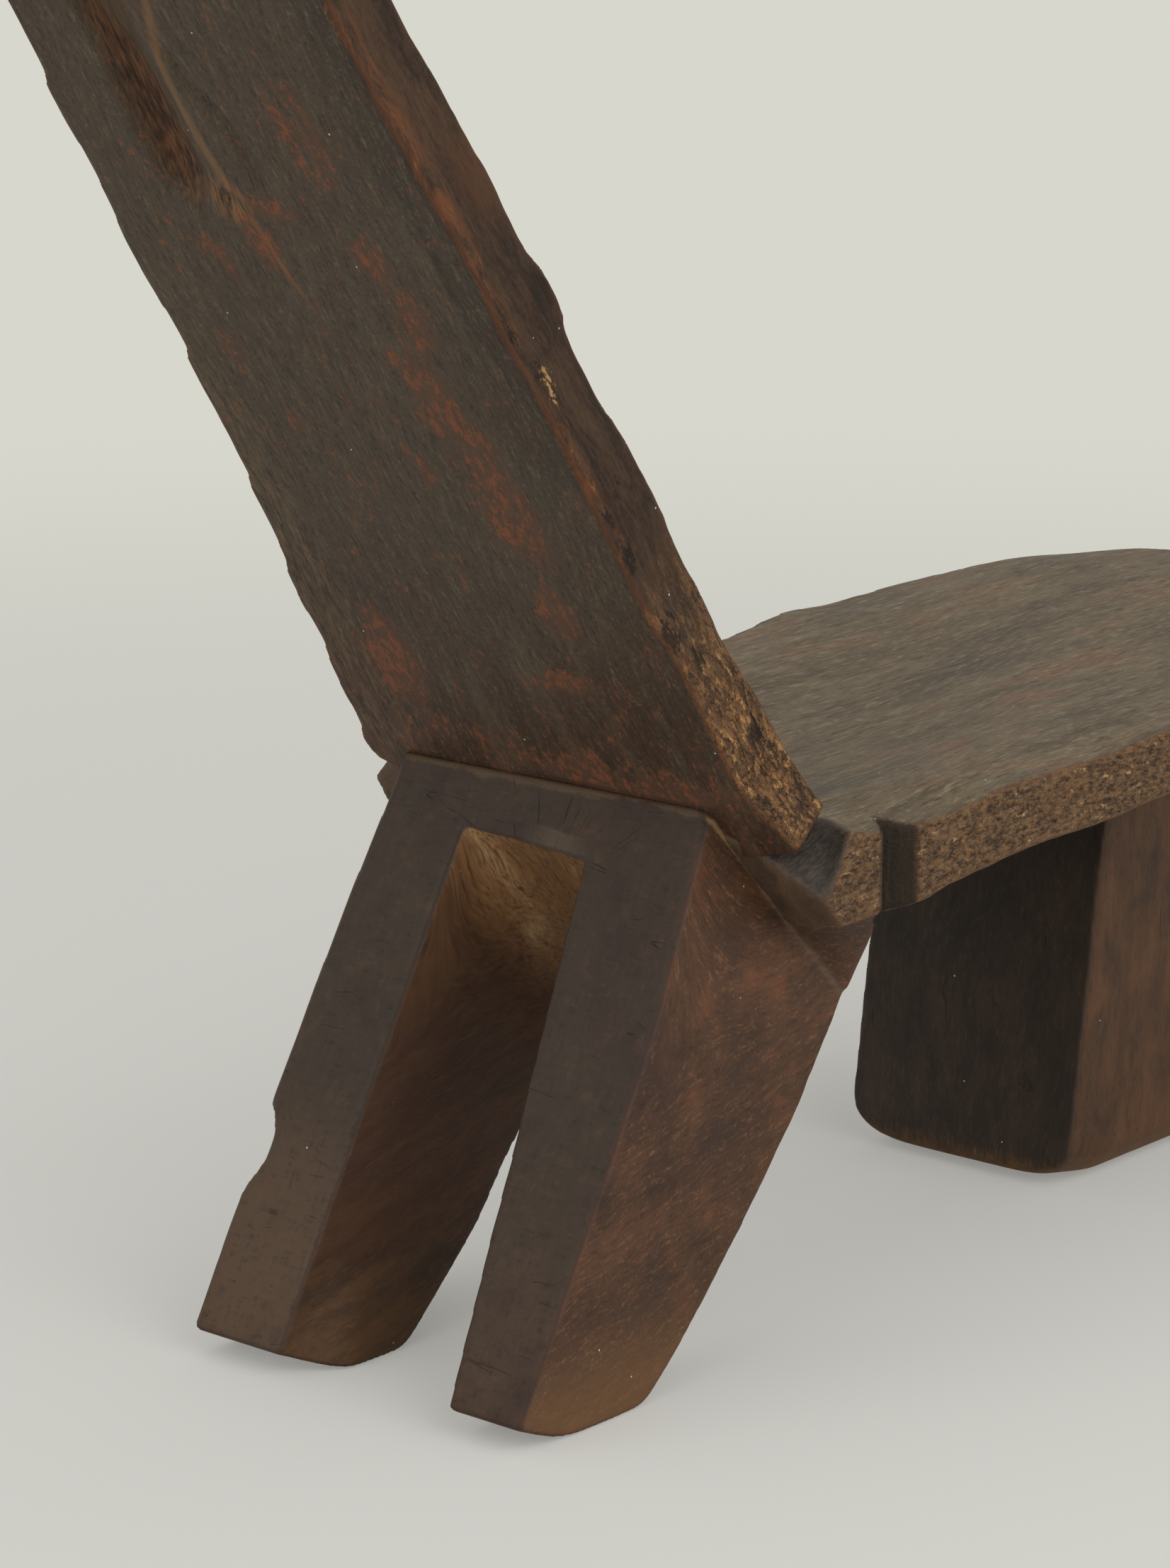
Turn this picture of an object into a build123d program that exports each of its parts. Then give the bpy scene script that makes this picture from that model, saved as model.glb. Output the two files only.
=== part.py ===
"""A reclining chair-stool carved from one block of hardwood.

Millimetres, +Z up. X runs across the seat, and +X is the sitter's left. The sitter faces -Y.
The origin is on the floor, under the middle of the whole chair.

Side views are drawn as (forward, height): forward is the distance in front of the crease, the
line where the back of the board meets the rear legs. Front views are drawn as (right, height):
right is the distance to the sitter's right of the middle.
"""
from build123d import *
import os
from math import cos, radians, sin, tan

# ---- backrest: a flat board that leans back from the crease
crease_height = 243.0
recline = 33.7             # degrees from upright
back_length = 590.0        # from the crease to the crest, along the board
back_thickness = 31.0
back_width_foot = 236.0    # where the board spreads to meet the seat
back_width_waist = 197.0
waist_height = 48.0        # along the board
back_width_crest = 164.0
crest_rise = 14.0          # of the arched top end
crest_corner = 24.0
back_foot_drop = 16.0      # how far the board's outer corners reach past the crease
back_flare_spread = 0.22   # share of the foot's spread left at the flare's middle point
back_flare_middle = 0.3    # that point's share of the way up to the waist

# ---- seat: a long slab, dished on top and round below, with a bluff front end
seat_reach = 604.0         # from the crease to the front end
seat_width_rear = 260.0
seat_width_widest = 292.0
seat_widest_at = 440.0     # forward of the crease
seat_width_front = 236.0
seat_shoulder = 30.0       # how far the front corners lie behind the front end
seat_corner = 34.0
seat_bow = 3.0             # of each long edge, from the lug to the widest place
seat_front_share = 0.28    # share of the narrowing half way to the front corners
seat_step = 5.0            # how far the top at the backrest lies below the crease
seat_rise = 2.0            # degrees, upwards to the front
seat_depth_middle = 54.0   # top to keel, before the dish
rim_thickness = 32.0       # at the rear corners
dish_depth = 8.0
dish_width = 232.0
dish_rise = 0.85           # degrees steeper than the seat, so the dish runs out at the front
bevel_reach = 54.0         # how far forward the slab's rear end is cut under
bevel_drop = 62.0
bevel_share = 0.7          # share of that drop at which the leg block's top lies in the slab

# ---- lugs: the seat's rear corners, which stand out beside the leg block
lug_reach = 56.0           # forward to the saw cut that marks them off
lug_inner = 176.0          # across, between the two lugs
lug_tip_forward = 11.0
lug_tip_drop = 27.0        # below the crease
notch_length = 18.0
notch_depth = 11.0

# ---- rear legs: one block, raked back and slotted into two legs
leg_rake = 29.5            # degrees from upright, of the rear face
leg_width_floor = 190.0
leg_width_crease = 168.0
leg_front_rake = 40.0      # degrees from upright, of the front face
leg_depth_floor = 92.5     # back face to front face, at the floor
heel_height = 13.0
heel_run = 30.0            # from the heel forward to where the sole touches
toe_height = 20.0
toe_run = 19.0             # from there to where the front face would meet the floor
toe_share = 0.42           # share of the toe's height at which its bevel changes
slot_band = 25.0           # wood left between the slot and the crease
slot_left = 43.0           # inner face of the left leg, from the middle
slot_right_floor = 55.0    # inner face of the right leg, at the floor
slot_right_top = 27.0      # the same, at the top of the slot
slot_roof_fall = 45.0      # degrees below level, going forward

# ---- front leg: one broad block
front_leg_width = 131.0
front_leg_back = 290.0     # forward of the crease, at the floor
front_leg_depth = 122.0
front_leg_lean = 8.5       # degrees from upright
front_leg_flare = 5.0      # degrees, of the front face
front_sole_lift = 7.0
front_sole_round = 26.0
front_leg_corner = 20.0    # of the sole's two sides

MARGIN = 400.0             # reach of the tools past the piece they shape
CLEAR = 1.0                # by which a cut starts outside the wood
NEAR = 1.0                 # two places closer than this are the same

seat_top_rear = crease_height - seat_step
slot_top = crease_height - slot_band
rake = tan(radians(leg_rake))
front_rake = tan(radians(leg_front_rake))
lean = radians(recline)
back_reach = back_length * sin(lean)
crease_y = (seat_reach - back_reach) / 2


def side(outline):
    """A prism across the chair from a closed side view, (forward, height)."""
    face = make_face(Polyline([(crease_y - f, z) for f, z in outline], close=True))
    return extrude(Plane.YZ * face, amount=MARGIN, both=True)


def front(outline):
    """A prism along the chair from a closed front view, (right, height)."""
    face = make_face(Polyline([(-r, z) for r, z in outline], close=True))
    return extrude(Plane.XZ * face, amount=3 * MARGIN, both=True)


def seat_top(forward):
    """Height of the slab's top before it is dished."""
    return seat_top_rear + forward * tan(radians(seat_rise))


def seat_slab():
    """The whole slab with its lugs, before the lugs are parted from it."""
    half_rear = seat_width_rear / 2
    half_widest = seat_width_widest / 2
    half_front = seat_width_front / 2
    shoulder = seat_reach - seat_shoulder
    rear = [(half_rear, crease_y), (-half_rear, crease_y)]
    widest = [(side_ * half_widest, crease_y - seat_widest_at) for side_ in (1, -1)]
    corner = [(side_ * half_front, crease_y - shoulder) for side_ in (1, -1)]
    middle = (half_rear + half_widest) / 2 + seat_bow
    waist_y = crease_y - seat_widest_at / 2
    bulge_y = crease_y - (seat_widest_at + shoulder) / 2
    bulge = half_widest - (half_widest - half_front) * seat_front_share
    edges = [
        Line(rear[1], rear[0]),
        ThreePointArc(rear[0], (middle, waist_y), widest[0]),
        ThreePointArc(widest[0], (bulge, bulge_y), corner[0]),
        ThreePointArc(corner[0], (0, crease_y - seat_reach), corner[1]),
        ThreePointArc(corner[1], (-bulge, bulge_y), widest[1]),
        ThreePointArc(widest[1], (-middle, waist_y), rear[1]),
    ]
    plan = make_face(edges)
    blunt = [v for v in plan.vertices() if abs(v.Y - (crease_y - shoulder)) < NEAR]
    plan = fillet(blunt, seat_corner)
    blank = extrude(plan, amount=crease_height + MARGIN)

    # side view: level under the backrest, rising to the front, cut under at the rear
    board_front = back_thickness / cos(lean)
    top = [(0, crease_height), (board_front, seat_top(board_front)),
           (seat_reach + MARGIN, seat_top(seat_reach + MARGIN))]
    under = [(seat_reach + MARGIN, 0), (bevel_reach, 0),
             (bevel_reach, crease_height - bevel_drop)]
    blank = blank & side(top + under)

    # round underside: a wide drum whose keel runs along the seat
    half = seat_width_rear / 2
    sag = seat_depth_middle - rim_thickness
    drum_radius = (half ** 2 + sag ** 2) / (2 * sag)
    pitch = Rotation(-seat_rise, 0, 0)
    drum_height = seat_top_rear - seat_depth_middle + drum_radius
    drum = Location((0, crease_y, drum_height)) * pitch * Rotation(90, 0, 0) * Cylinder(
        drum_radius, 4 * MARGIN)
    blank = blank & drum

    # dish: a wide shallow drum cut into the top
    half = dish_width / 2
    dish_radius = (half ** 2 + dish_depth ** 2) / (2 * dish_depth)
    dish_pitch = Rotation(-(seat_rise + dish_rise), 0, 0)
    dish_height = seat_top_rear - dish_depth + dish_radius
    dish = Location((0, crease_y, dish_height)) * dish_pitch * Rotation(90, 0, 0) * Cylinder(
        dish_radius, 4 * MARGIN)
    ahead = side([(board_front, 0), (seat_reach + MARGIN, 0),
                  (seat_reach + MARGIN, 2 * MARGIN), (board_front, 2 * MARGIN)])
    blank = blank - (dish & ahead)

    # each rear corner is cut back above its tip
    tip = (lug_tip_forward, crease_height - lug_tip_drop)
    cut_top = (board_front, seat_top(board_front))
    above = side([cut_top, tip, (-MARGIN, tip[1]), (-MARGIN, MARGIN), (board_front, MARGIN)])
    blank = blank - (above & lug_zones())

    # one V notch in each edge, just ahead of the lug
    for hand in (1, -1):
        edge = hand * (seat_width_widest / 2 + CLEAR)
        depth = hand * (seat_width_rear / 2 - notch_depth)
        at = crease_y - lug_reach
        vee = make_face(Polyline([(edge, at), (depth, at), (edge, at - notch_length)], close=True))
        blank = blank - extrude(vee, amount=MARGIN)
    return blank


def lug_zones():
    """The two zones outside the leg block, behind the notches."""
    inner = lug_inner / 2
    right = front([(inner, 0), (MARGIN, 0), (MARGIN, MARGIN), (inner, MARGIN)])
    left = front([(-inner, 0), (-inner, MARGIN), (-MARGIN, MARGIN), (-MARGIN, 0)])
    behind = side([(-MARGIN, 0), (lug_reach, 0), (lug_reach, MARGIN), (-MARGIN, MARGIN)])
    return (right + left) & behind


def leg_block(slab):
    """The rear block before it is slotted, cut to the slab it carries."""
    heel = (-(crease_height - heel_height) * rake, heel_height)
    leg_front_floor = leg_depth_floor - crease_height * rake
    toe = (leg_front_floor + toe_height * front_rake, toe_height)
    heel_contact = heel[0] + heel_run
    toe_contact = leg_front_floor - toe_run
    toe_middle = ((toe_contact + 2 * toe[0]) / 3, toe_height * toe_share)
    inside_slab = crease_height - bevel_share * bevel_drop
    high = (leg_front_floor + inside_slab * front_rake, inside_slab)
    outline = [(0, crease_height), heel, (heel_contact, 0), (toe_contact, 0), toe_middle, toe,
               high, (bevel_reach, inside_slab)]
    floor_half = leg_width_floor / 2
    top_half = leg_width_crease / 2
    taper = front([(-floor_half, 0), (floor_half, 0), (top_half, crease_height),
                   (-top_half, crease_height)])
    return side(outline) & taper - slab


def slot_column():
    """The full height of wood between the inner faces of the two legs."""
    slope = (slot_right_floor - slot_right_top) / slot_top
    right_high = slot_right_floor - slope * crease_height
    return front([(-slot_left, -CLEAR), (slot_right_floor + slope * CLEAR, -CLEAR),
                  (right_high, crease_height), (-slot_left, crease_height)])


def slot_passage():
    """The part of that column which is cut away, under a roof that falls to the front."""
    start = -(crease_height - slot_top) * rake
    fall = tan(radians(slot_roof_fall))
    low = (start + (slot_top + CLEAR) / fall, -CLEAR)
    back = (start - MARGIN, slot_top + MARGIN * fall)
    return side([(start - MARGIN, -CLEAR), low, back]) & slot_column()


def front_leg(slab):
    """The front block: its sole is lifted at both ends and rounded at both sides."""
    lean_back = tan(radians(front_leg_lean))
    flare = tan(radians(front_leg_flare))
    toe = front_leg_back + front_leg_depth
    inside_slab = seat_top(front_leg_back) - seat_depth_middle / 2
    outline = [
        (front_leg_back + front_sole_lift * lean_back, front_sole_lift),
        (front_leg_back + front_sole_round, 0),
        (toe - front_sole_round, 0),
        (toe + front_sole_lift * flare, front_sole_lift),
        (toe + inside_slab * flare, inside_slab),
        (front_leg_back + inside_slab * lean_back, inside_slab),
    ]
    half = front_leg_width / 2
    shape = make_face(Polyline([(-half, 0), (half, 0), (half, crease_height),
                                (-half, crease_height)], close=True))
    shape = fillet([v for v in shape.vertices() if v.Y < NEAR], front_leg_corner)
    section = extrude(Plane.XZ * shape, amount=3 * MARGIN, both=True)
    return side(outline) & section - slab


def backrest():
    """The board, its crest arched and its two lower corners reaching past the crease."""
    half_foot = back_width_foot / 2
    half_waist = back_width_waist / 2
    half_crest = back_width_crest / 2
    shoulder = back_length - crest_rise
    flare_middle = (half_waist + (half_foot - half_waist) * back_flare_spread,
                    waist_height * back_flare_middle)
    edges = [
        Line((-half_foot, -back_foot_drop), (half_foot, -back_foot_drop)),
        ThreePointArc((half_foot, -back_foot_drop), flare_middle, (half_waist, waist_height)),
        Line((half_waist, waist_height), (half_crest, shoulder)),
        ThreePointArc((half_crest, shoulder), (0, back_length), (-half_crest, shoulder)),
        Line((-half_crest, shoulder), (-half_waist, waist_height)),
        ThreePointArc((-half_waist, waist_height), (-flare_middle[0], flare_middle[1]),
                      (-half_foot, -back_foot_drop)),
    ]
    outline = make_face(edges)
    outline = fillet([v for v in outline.vertices() if abs(v.Y - shoulder) < NEAR], crest_corner)
    board_plane = Plane(origin=(0, crease_y, crease_height), x_dir=(1, 0, 0),
                        z_dir=(0, -cos(lean), sin(lean)))
    board = extrude(board_plane * outline, amount=back_thickness)

    # between the lugs the board ends on the seat, and outside them it reaches lower
    board_front = back_thickness / cos(lean)
    inner = lug_inner / 2
    foot = side([(0, crease_height), (board_front, seat_top(board_front)),
                 (2 * MARGIN, seat_top(board_front)), (2 * MARGIN, 0), (-MARGIN, 0),
                 (-MARGIN, crease_height)])
    between = front([(-inner, 0), (inner, 0), (inner, MARGIN), (-inner, MARGIN)])
    return board - (foot & between)


slab = seat_slab()
zones = lug_zones()
lugs = (slab & zones).solids()
block = leg_block(slab)
column = slot_column()
legs = (block - column).solids()

nodes = {
    "backrest": backrest() - slab,
    "seat": slab - zones,
    "seat_lug_left": lugs.sort_by(Axis.X)[-1],
    "seat_lug_right": lugs.sort_by(Axis.X)[0],
    "rear_leg_bridge": (block & column) - slot_passage(),
    "rear_leg_left": legs.sort_by(Axis.X)[-1],
    "rear_leg_right": legs.sort_by(Axis.X)[0],
    "front_leg": front_leg(slab),
}

os.makedirs("parts", exist_ok=True)
for name, solid in nodes.items():
    export_step(solid, f"parts/{name}.step")
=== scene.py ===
"""Looks for a low reclining chair-stool carved from one block of hardwood.

Each member is carved as a field of distances: a point's value is how far outside the wood it
lies, in millimetres and below zero within it, and Geometry Nodes turn the field's zero into the
surface. Places are given as the chair's maker would give them: right of the middle, which is
the sitter's right, forward of the crease where the board meets the seat, and up from the floor.
"""

from math import cos, radians, sin, tan

import bpy
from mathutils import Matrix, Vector


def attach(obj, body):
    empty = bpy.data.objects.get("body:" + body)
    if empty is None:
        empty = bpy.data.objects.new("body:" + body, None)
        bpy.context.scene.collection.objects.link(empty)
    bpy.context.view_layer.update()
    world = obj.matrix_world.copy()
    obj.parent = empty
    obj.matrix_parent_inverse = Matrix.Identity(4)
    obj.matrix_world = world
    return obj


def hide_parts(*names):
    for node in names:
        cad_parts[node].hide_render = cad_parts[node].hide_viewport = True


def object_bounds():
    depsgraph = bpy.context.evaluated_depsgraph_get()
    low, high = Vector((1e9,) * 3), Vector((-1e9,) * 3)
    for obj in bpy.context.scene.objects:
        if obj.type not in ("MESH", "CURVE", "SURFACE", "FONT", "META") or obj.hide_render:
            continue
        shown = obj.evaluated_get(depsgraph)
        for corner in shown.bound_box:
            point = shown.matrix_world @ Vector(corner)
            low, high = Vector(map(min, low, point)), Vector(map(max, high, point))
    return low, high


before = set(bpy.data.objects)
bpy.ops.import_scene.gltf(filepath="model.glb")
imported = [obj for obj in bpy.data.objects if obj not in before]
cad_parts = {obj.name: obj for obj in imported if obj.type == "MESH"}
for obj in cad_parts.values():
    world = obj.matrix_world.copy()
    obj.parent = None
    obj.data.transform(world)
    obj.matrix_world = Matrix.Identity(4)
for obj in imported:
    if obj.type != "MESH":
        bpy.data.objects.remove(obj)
cad_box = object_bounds()

bl_info = {
    "name": "Carved chair-stool",
    "version": (1, 0, 0),
    "blender": (4, 5, 0),
    "location": "View3D > Sidebar > Chair-stool",
    "description": "Carves the chair-stool's members and gives them their worn hardwood",
    "category": "Object",
}

MM = 0.001

# what more than one member is cut to, in millimetres and degrees
CREASE_HEIGHT = 243.0       # from the floor
BOARD_LENGTH = 590.0        # up the board, from the crease
SEAT_REACH = 604.0          # from the crease to the front end
RECLINE = 33.7              # of the board, from upright
RAKE = 29.5                 # of the rear legs' back, from upright
SEAT_PITCH = 2.0            # of the seat's top, rising to the front
CREASE_Y = (SEAT_REACH - BOARD_LENGTH * sin(radians(RECLINE))) / 2      # centres the chair


# ---------------------------------------------------------------- node trees

class Term:
    """One socket of a node tree. Arithmetic on it adds the Math or Vector Math nodes."""

    def __init__(self, graph, socket):
        self.graph = graph
        self.socket = socket

    def __add__(self, other):
        return self.graph.calc("ADD", self, other)

    def __sub__(self, other):
        return self.graph.calc("SUBTRACT", self, other)

    def __rsub__(self, other):
        return self.graph.calc("SUBTRACT", other, self)

    def __mul__(self, other):
        return self.graph.product(self, other)

    def __truediv__(self, other):
        return self.graph.calc("DIVIDE", self, other)

    def __rtruediv__(self, other):
        return self.graph.calc("DIVIDE", other, self)

    def __pow__(self, other):
        return self.graph.calc("POWER", self, other)

    def __neg__(self):
        return self.graph.product(self, -1.0)

    def __abs__(self):
        return self.graph.calc("ABSOLUTE", self)

    __radd__ = __add__
    __rmul__ = __mul__


def is_vector(value):
    """Whether a term or a plain value has three parts."""
    if isinstance(value, Term):
        return value.socket.type in ("VECTOR", "RGBA")
    return isinstance(value, (tuple, Vector))


class Graph:
    """A node tree under construction."""

    def __init__(self, tree):
        self.tree = tree

    def add(self, kind, settings=None, inputs=None, output=0):
        """Adds one node, sets it, feeds its sockets and returns one of its outputs."""
        node = self.tree.nodes.new(kind)
        for name, value in (settings or {}).items():
            setattr(node, name, value)
        for key, value in (inputs or {}).items():
            if isinstance(value, Term):
                self.tree.links.new(value.socket, node.inputs[key])
            elif value is not None:
                socket = node.inputs[key]
                if socket.type == "VECTOR" and not is_vector(value):
                    value = (value, value, value)
                if socket.type == "RGBA" and len(value) == 3:
                    value = (*value, 1.0)
                socket.default_value = value
        return Term(self, node.outputs[output])

    def calc(self, operation, *values):
        """A Math node, or a Vector Math node where a value has three parts."""
        inputs = dict(enumerate(values))
        if any(is_vector(v) for v in values):
            return self.add("ShaderNodeVectorMath", {"operation": operation}, inputs)
        return self.add("ShaderNodeMath", {"operation": operation}, inputs)

    def product(self, one, other):
        """Two numbers or two vectors multiplied, or a vector scaled by a number."""
        if is_vector(one) != is_vector(other):
            vector, number = (one, other) if is_vector(one) else (other, one)
            return self.add("ShaderNodeVectorMath", {"operation": "SCALE"},
                            {0: vector, "Scale": number})
        return self.calc("MULTIPLY", one, other)

    def highest(self, *values, soft=None):
        """The largest value; soft rounds the change from one to the next."""
        result = values[0]
        for value in values[1:]:
            if soft is None:
                result = self.calc("MAXIMUM", result, value)
            else:
                result = self.calc("SMOOTH_MAX", result, value, soft)
        return result

    def lowest(self, *values, soft=None):
        """The smallest value; soft rounds the change from one to the next."""
        result = values[0]
        for value in values[1:]:
            if soft is None:
                result = self.calc("MINIMUM", result, value)
            else:
                result = self.calc("SMOOTH_MIN", result, value, soft)
        return result

    def ramp(self, value, start, end):
        """0 at start, 1 at end, and smooth between them."""
        return self.add("ShaderNodeMapRange", {"interpolation_type": "SMOOTHSTEP"},
                        {"Value": value, "From Min": start, "From Max": end})

    def bump(self, value, middle, reach):
        """1 at the middle, falling smoothly to 0 at reach on either side."""
        return self.ramp(abs(value - middle), reach, 0.0)

    def curve(self, value, points):
        """A smooth line through a few (value, result) points."""
        xs = [x for x, _ in points]
        ys = [y for _, y in points]
        low_x, low_y = min(xs), min(ys)
        wide, tall = max(xs) - low_x, max(max(ys) - low_y, 1e-6)
        node = self.tree.nodes.new("ShaderNodeFloatCurve")
        line = node.mapping.curves[0]
        while len(line.points) < len(points):
            line.points.new(0.5, 0.5)
        for point, (x, y) in zip(line.points, sorted(points)):
            point.location = ((x - low_x) / wide, (y - low_y) / tall)
        node.mapping.update()
        self.tree.links.new(((value - low_x) / wide).socket, node.inputs["Value"])
        return Term(self, node.outputs[0]) * tall + low_y

    def join(self, x, y, z):
        """A vector from its three parts."""
        return self.add("ShaderNodeCombineXYZ", None, {0: x, 1: y, 2: z})

    def split(self, vector):
        """The three parts of a vector."""
        node = self.tree.nodes.new("ShaderNodeSeparateXYZ")
        self.tree.links.new(vector.socket, node.inputs[0])
        return [Term(self, socket) for socket in node.outputs]

    def seeded(self, vector, size, seed):
        """A vector in units of size, moved to a place of its own for each seed."""
        return vector * (1.0 / size) + (seed * 7.31, seed * 3.17, seed * 5.93)

    def noise(self, vector, size, detail=2.0, rough=0.5, warp=0.0, seed=0):
        """Cloudy noise from -1 to 1, its lumps about size across."""
        inputs = {"Vector": self.seeded(vector, size, seed), "Scale": 1.0, "Detail": detail,
                  "Roughness": rough, "Distortion": warp}
        return self.add("ShaderNodeTexNoise", None, inputs) * 2.0 - 1.0

    def cells(self, vector, size, feature, seed, output="Distance"):
        """Cells about size across, each round a point of its own."""
        return self.add("ShaderNodeTexVoronoi", {"feature": feature},
                        {"Vector": self.seeded(vector, size, seed), "Scale": 1.0}, output)

    def blend(self, factor, one, other):
        """From one number to another as the factor goes from 0 to 1."""
        return self.add("ShaderNodeMix", {"data_type": "FLOAT"},
                        {0: factor, 2: one, 3: other})

    def camera_rays(self):
        """1 for what the camera sees, straight or in a shiny surface, and 0 for other light."""
        seen = [self.add("ShaderNodeLightPath", output=ray)
                for ray in ("Is Camera Ray", "Is Glossy Ray", "Is Transmission Ray")]
        return self.highest(*seen)

    def tint(self, factor, one, other):
        """From one colour to another as the factor goes from 0 to 1."""
        return self.add("ShaderNodeMix", {"data_type": "RGBA", "clamp_factor": True},
                        {0: factor, 6: one, 7: other}, 2)


# ---------------------------------------------------------------- sizes and colours

def shade(red, green, blue):
    """A colour given as it looks on a screen, 0 to 255."""
    parts = []
    for part in (red, green, blue):
        part = part / 255.0
        parts.append(part / 12.92 if part <= 0.04045 else ((part + 0.055) / 1.055) ** 2.4)
    return tuple(parts)


def length(name, description, millimetres):
    """A size property, kept in metres."""
    return bpy.props.FloatProperty(name=name, description=description,
                                   default=millimetres * MM, min=0.0, unit="LENGTH",
                                   precision=4)


def angle(name, description, degrees):
    """An angle property."""
    return bpy.props.FloatProperty(name=name, description=description,
                                   default=radians(degrees), unit="ROTATION")


def tone(name, description, *seen):
    """A colour property; its default is given as it looks on a screen."""
    return bpy.props.FloatVectorProperty(name=name, description=description,
                                         default=shade(*seen), subtype="COLOR",
                                         min=0.0, max=1.0)


class BackrestSizes(bpy.types.PropertyGroup):
    """Sizes of the leaning board"""
    height: length("Length", "From the crease to the crest, along the board", BOARD_LENGTH)
    thickness: length("Thickness", "Of the board", 31.0)
    waist: length("Waist width", "Where the board is narrowest above the seat", 197.0)
    crest: length("Crest width", "At the board's top corners", 164.0)
    rise: length("Crest rise", "Of the arched top end", 14.0)
    unevenness: length("Unevenness", "Of the hand-cut faces", 0.7)
    hollow: length("Hollow depth", "Of the eroded hollow in the back", 7.0)
    wear: length("Arris wear", "Roundness of the worn arrises", 3.0)
    recline: angle("Recline", "From upright", RECLINE)


class SeatSizes(bpy.types.PropertyGroup):
    """Sizes of the dished slab"""
    reach: length("Reach", "From the crease to the front end", SEAT_REACH)
    widest: length("Widest width", "Of the slab", 291.6)
    rim: length("Rim thickness", "At the slab's edge", 32.0)
    keel: length("Middle depth", "From the top to the keel, before the dish", 54.0)
    dish: length("Dish depth", "Of the hollowed top", 8.0)
    unevenness: length("Unevenness", "Of the hand-cut faces", 0.8)
    wear: length("Arris wear", "Roundness of the worn arrises", 3.0)


class RearLegSizes(bpy.types.PropertyGroup):
    """Sizes of the raked block and its slot"""
    width: length("Width", "Across both legs, below the knee of the block", 186.5)
    crease_width: length("Crease width", "Across the block at the crease", 168.0)
    depth: length("Depth", "From back to front, at the floor", 92.5)
    slot_left: length("Slot left", "From the middle to the left leg's inner face", 42.5)
    slot_right: length("Slot right", "From the middle to the right leg's inner face", 55.4)
    slot_band: length("Band", "Wood left between the slot and the crease", 25.0)
    unevenness: length("Unevenness", "Of the hand-cut faces", 0.6)
    wear: length("Arris wear", "Roundness of the worn arrises", 2.4)
    rake: angle("Rake", "Of the back face, from upright", RAKE)


class FrontLegSizes(bpy.types.PropertyGroup):
    """Sizes of the broad front block"""
    width: length("Width", "Across the leg", 130.6)
    depth: length("Depth", "From back to front, at the floor", 121.5)
    back: length("Setback", "From the crease forward to the leg's back face", 290.0)
    unevenness: length("Unevenness", "Of the hand-cut faces", 0.9)
    wear: length("Arris wear", "Roundness of the worn arrises", 4.0)
    lean: angle("Lean", "Of the back face, from upright", 8.5)


class WoodColours(bpy.types.PropertyGroup):
    """Main tones of the woods"""
    patina: tone("Patina", "Of the board's back, high up", 65, 54, 41)
    patina_low: tone("Low patina", "Of the board's back, near the crease", 58, 40, 27)
    rust: tone("Rust", "Of the stains on the board", 80, 56, 42)
    rust_fleck: tone("Rust flecks", "In the stains on the board", 118, 68, 41)
    crumb: tone("Crumbs", "Light fibres of the board's broken edge", 128, 92, 56)
    block_back: tone("Block back", "Of the rear legs' polished back, high up", 54, 41, 31)
    block_back_low: tone("Low block back", "The same, near the floor", 66, 48, 35)
    block_side: tone("Block side", "Darker tone of the rear legs' sides", 56, 37, 26)
    block_side_light: tone("Light block side", "Lighter tone of the sides", 84, 56, 37)
    # the slot tone is laid partly as painted light on the slot's upper part and roof
    slot: tone("Slot", "Light fibres in the slot", 164, 122, 80)
    seat_top: tone("Seat top", "Darker tone of the worn top", 85, 71, 55)
    seat_top_light: tone("Light seat top", "Lighter tone of the worn top", 111, 97, 76)
    seat_edge: tone("Seat edge", "Of the fibrous edge", 116, 87, 59)
    front_back: tone("Front leg back", "Of the front leg's dark back", 56, 42, 31)
    front_side: tone("Front leg side", "Of the front leg's reddish side", 88, 58, 35)


class StudioSettings(bpy.types.PropertyGroup):
    """Light, floor and camera"""
    key: bpy.props.FloatProperty(
        name="Key lamp", description="Power of the lamp on the chair's right", default=46.0,
        unit="POWER")
    fill: bpy.props.FloatProperty(
        name="Fill lamp", description="Power of the lamp behind the chair", default=26.0,
        unit="POWER")
    sky: bpy.props.FloatProperty(
        name="Room light", description="Strength of the light from all round", default=0.62)
    floor_colour: bpy.props.FloatVectorProperty(
        name="Floor", description="Colour of the floor", default=(0.71, 0.705, 0.665),
        subtype="COLOR", min=0.0, max=1.0)
    glow: bpy.props.FloatProperty(
        name="Floor glow", description="Share of the floor's own light for the camera",
        default=0.36, min=0.0, max=1.0)
    backdrop: bpy.props.FloatVectorProperty(
        name="Backdrop", description="Colour seen behind the floor", default=(0.68, 0.68, 0.61),
        subtype="COLOR", min=0.0, max=1.0)
    lens: bpy.props.FloatProperty(
        name="Lens", description="Focal length in millimetres", default=105.0)
    camera_place: bpy.props.FloatVectorProperty(
        name="Camera place", description="Where the camera stands",
        default=(-1.24096, 1.56131, 0.68173), subtype="TRANSLATION", unit="LENGTH")
    camera_turn: bpy.props.FloatVectorProperty(
        name="Camera turn", description="How the camera is tilted, rolled and headed",
        default=(radians(76.867), radians(-0.042), radians(-139.242)), subtype="EULER",
        unit="ROTATION")


# ---------------------------------------------------------------- carving

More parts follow.
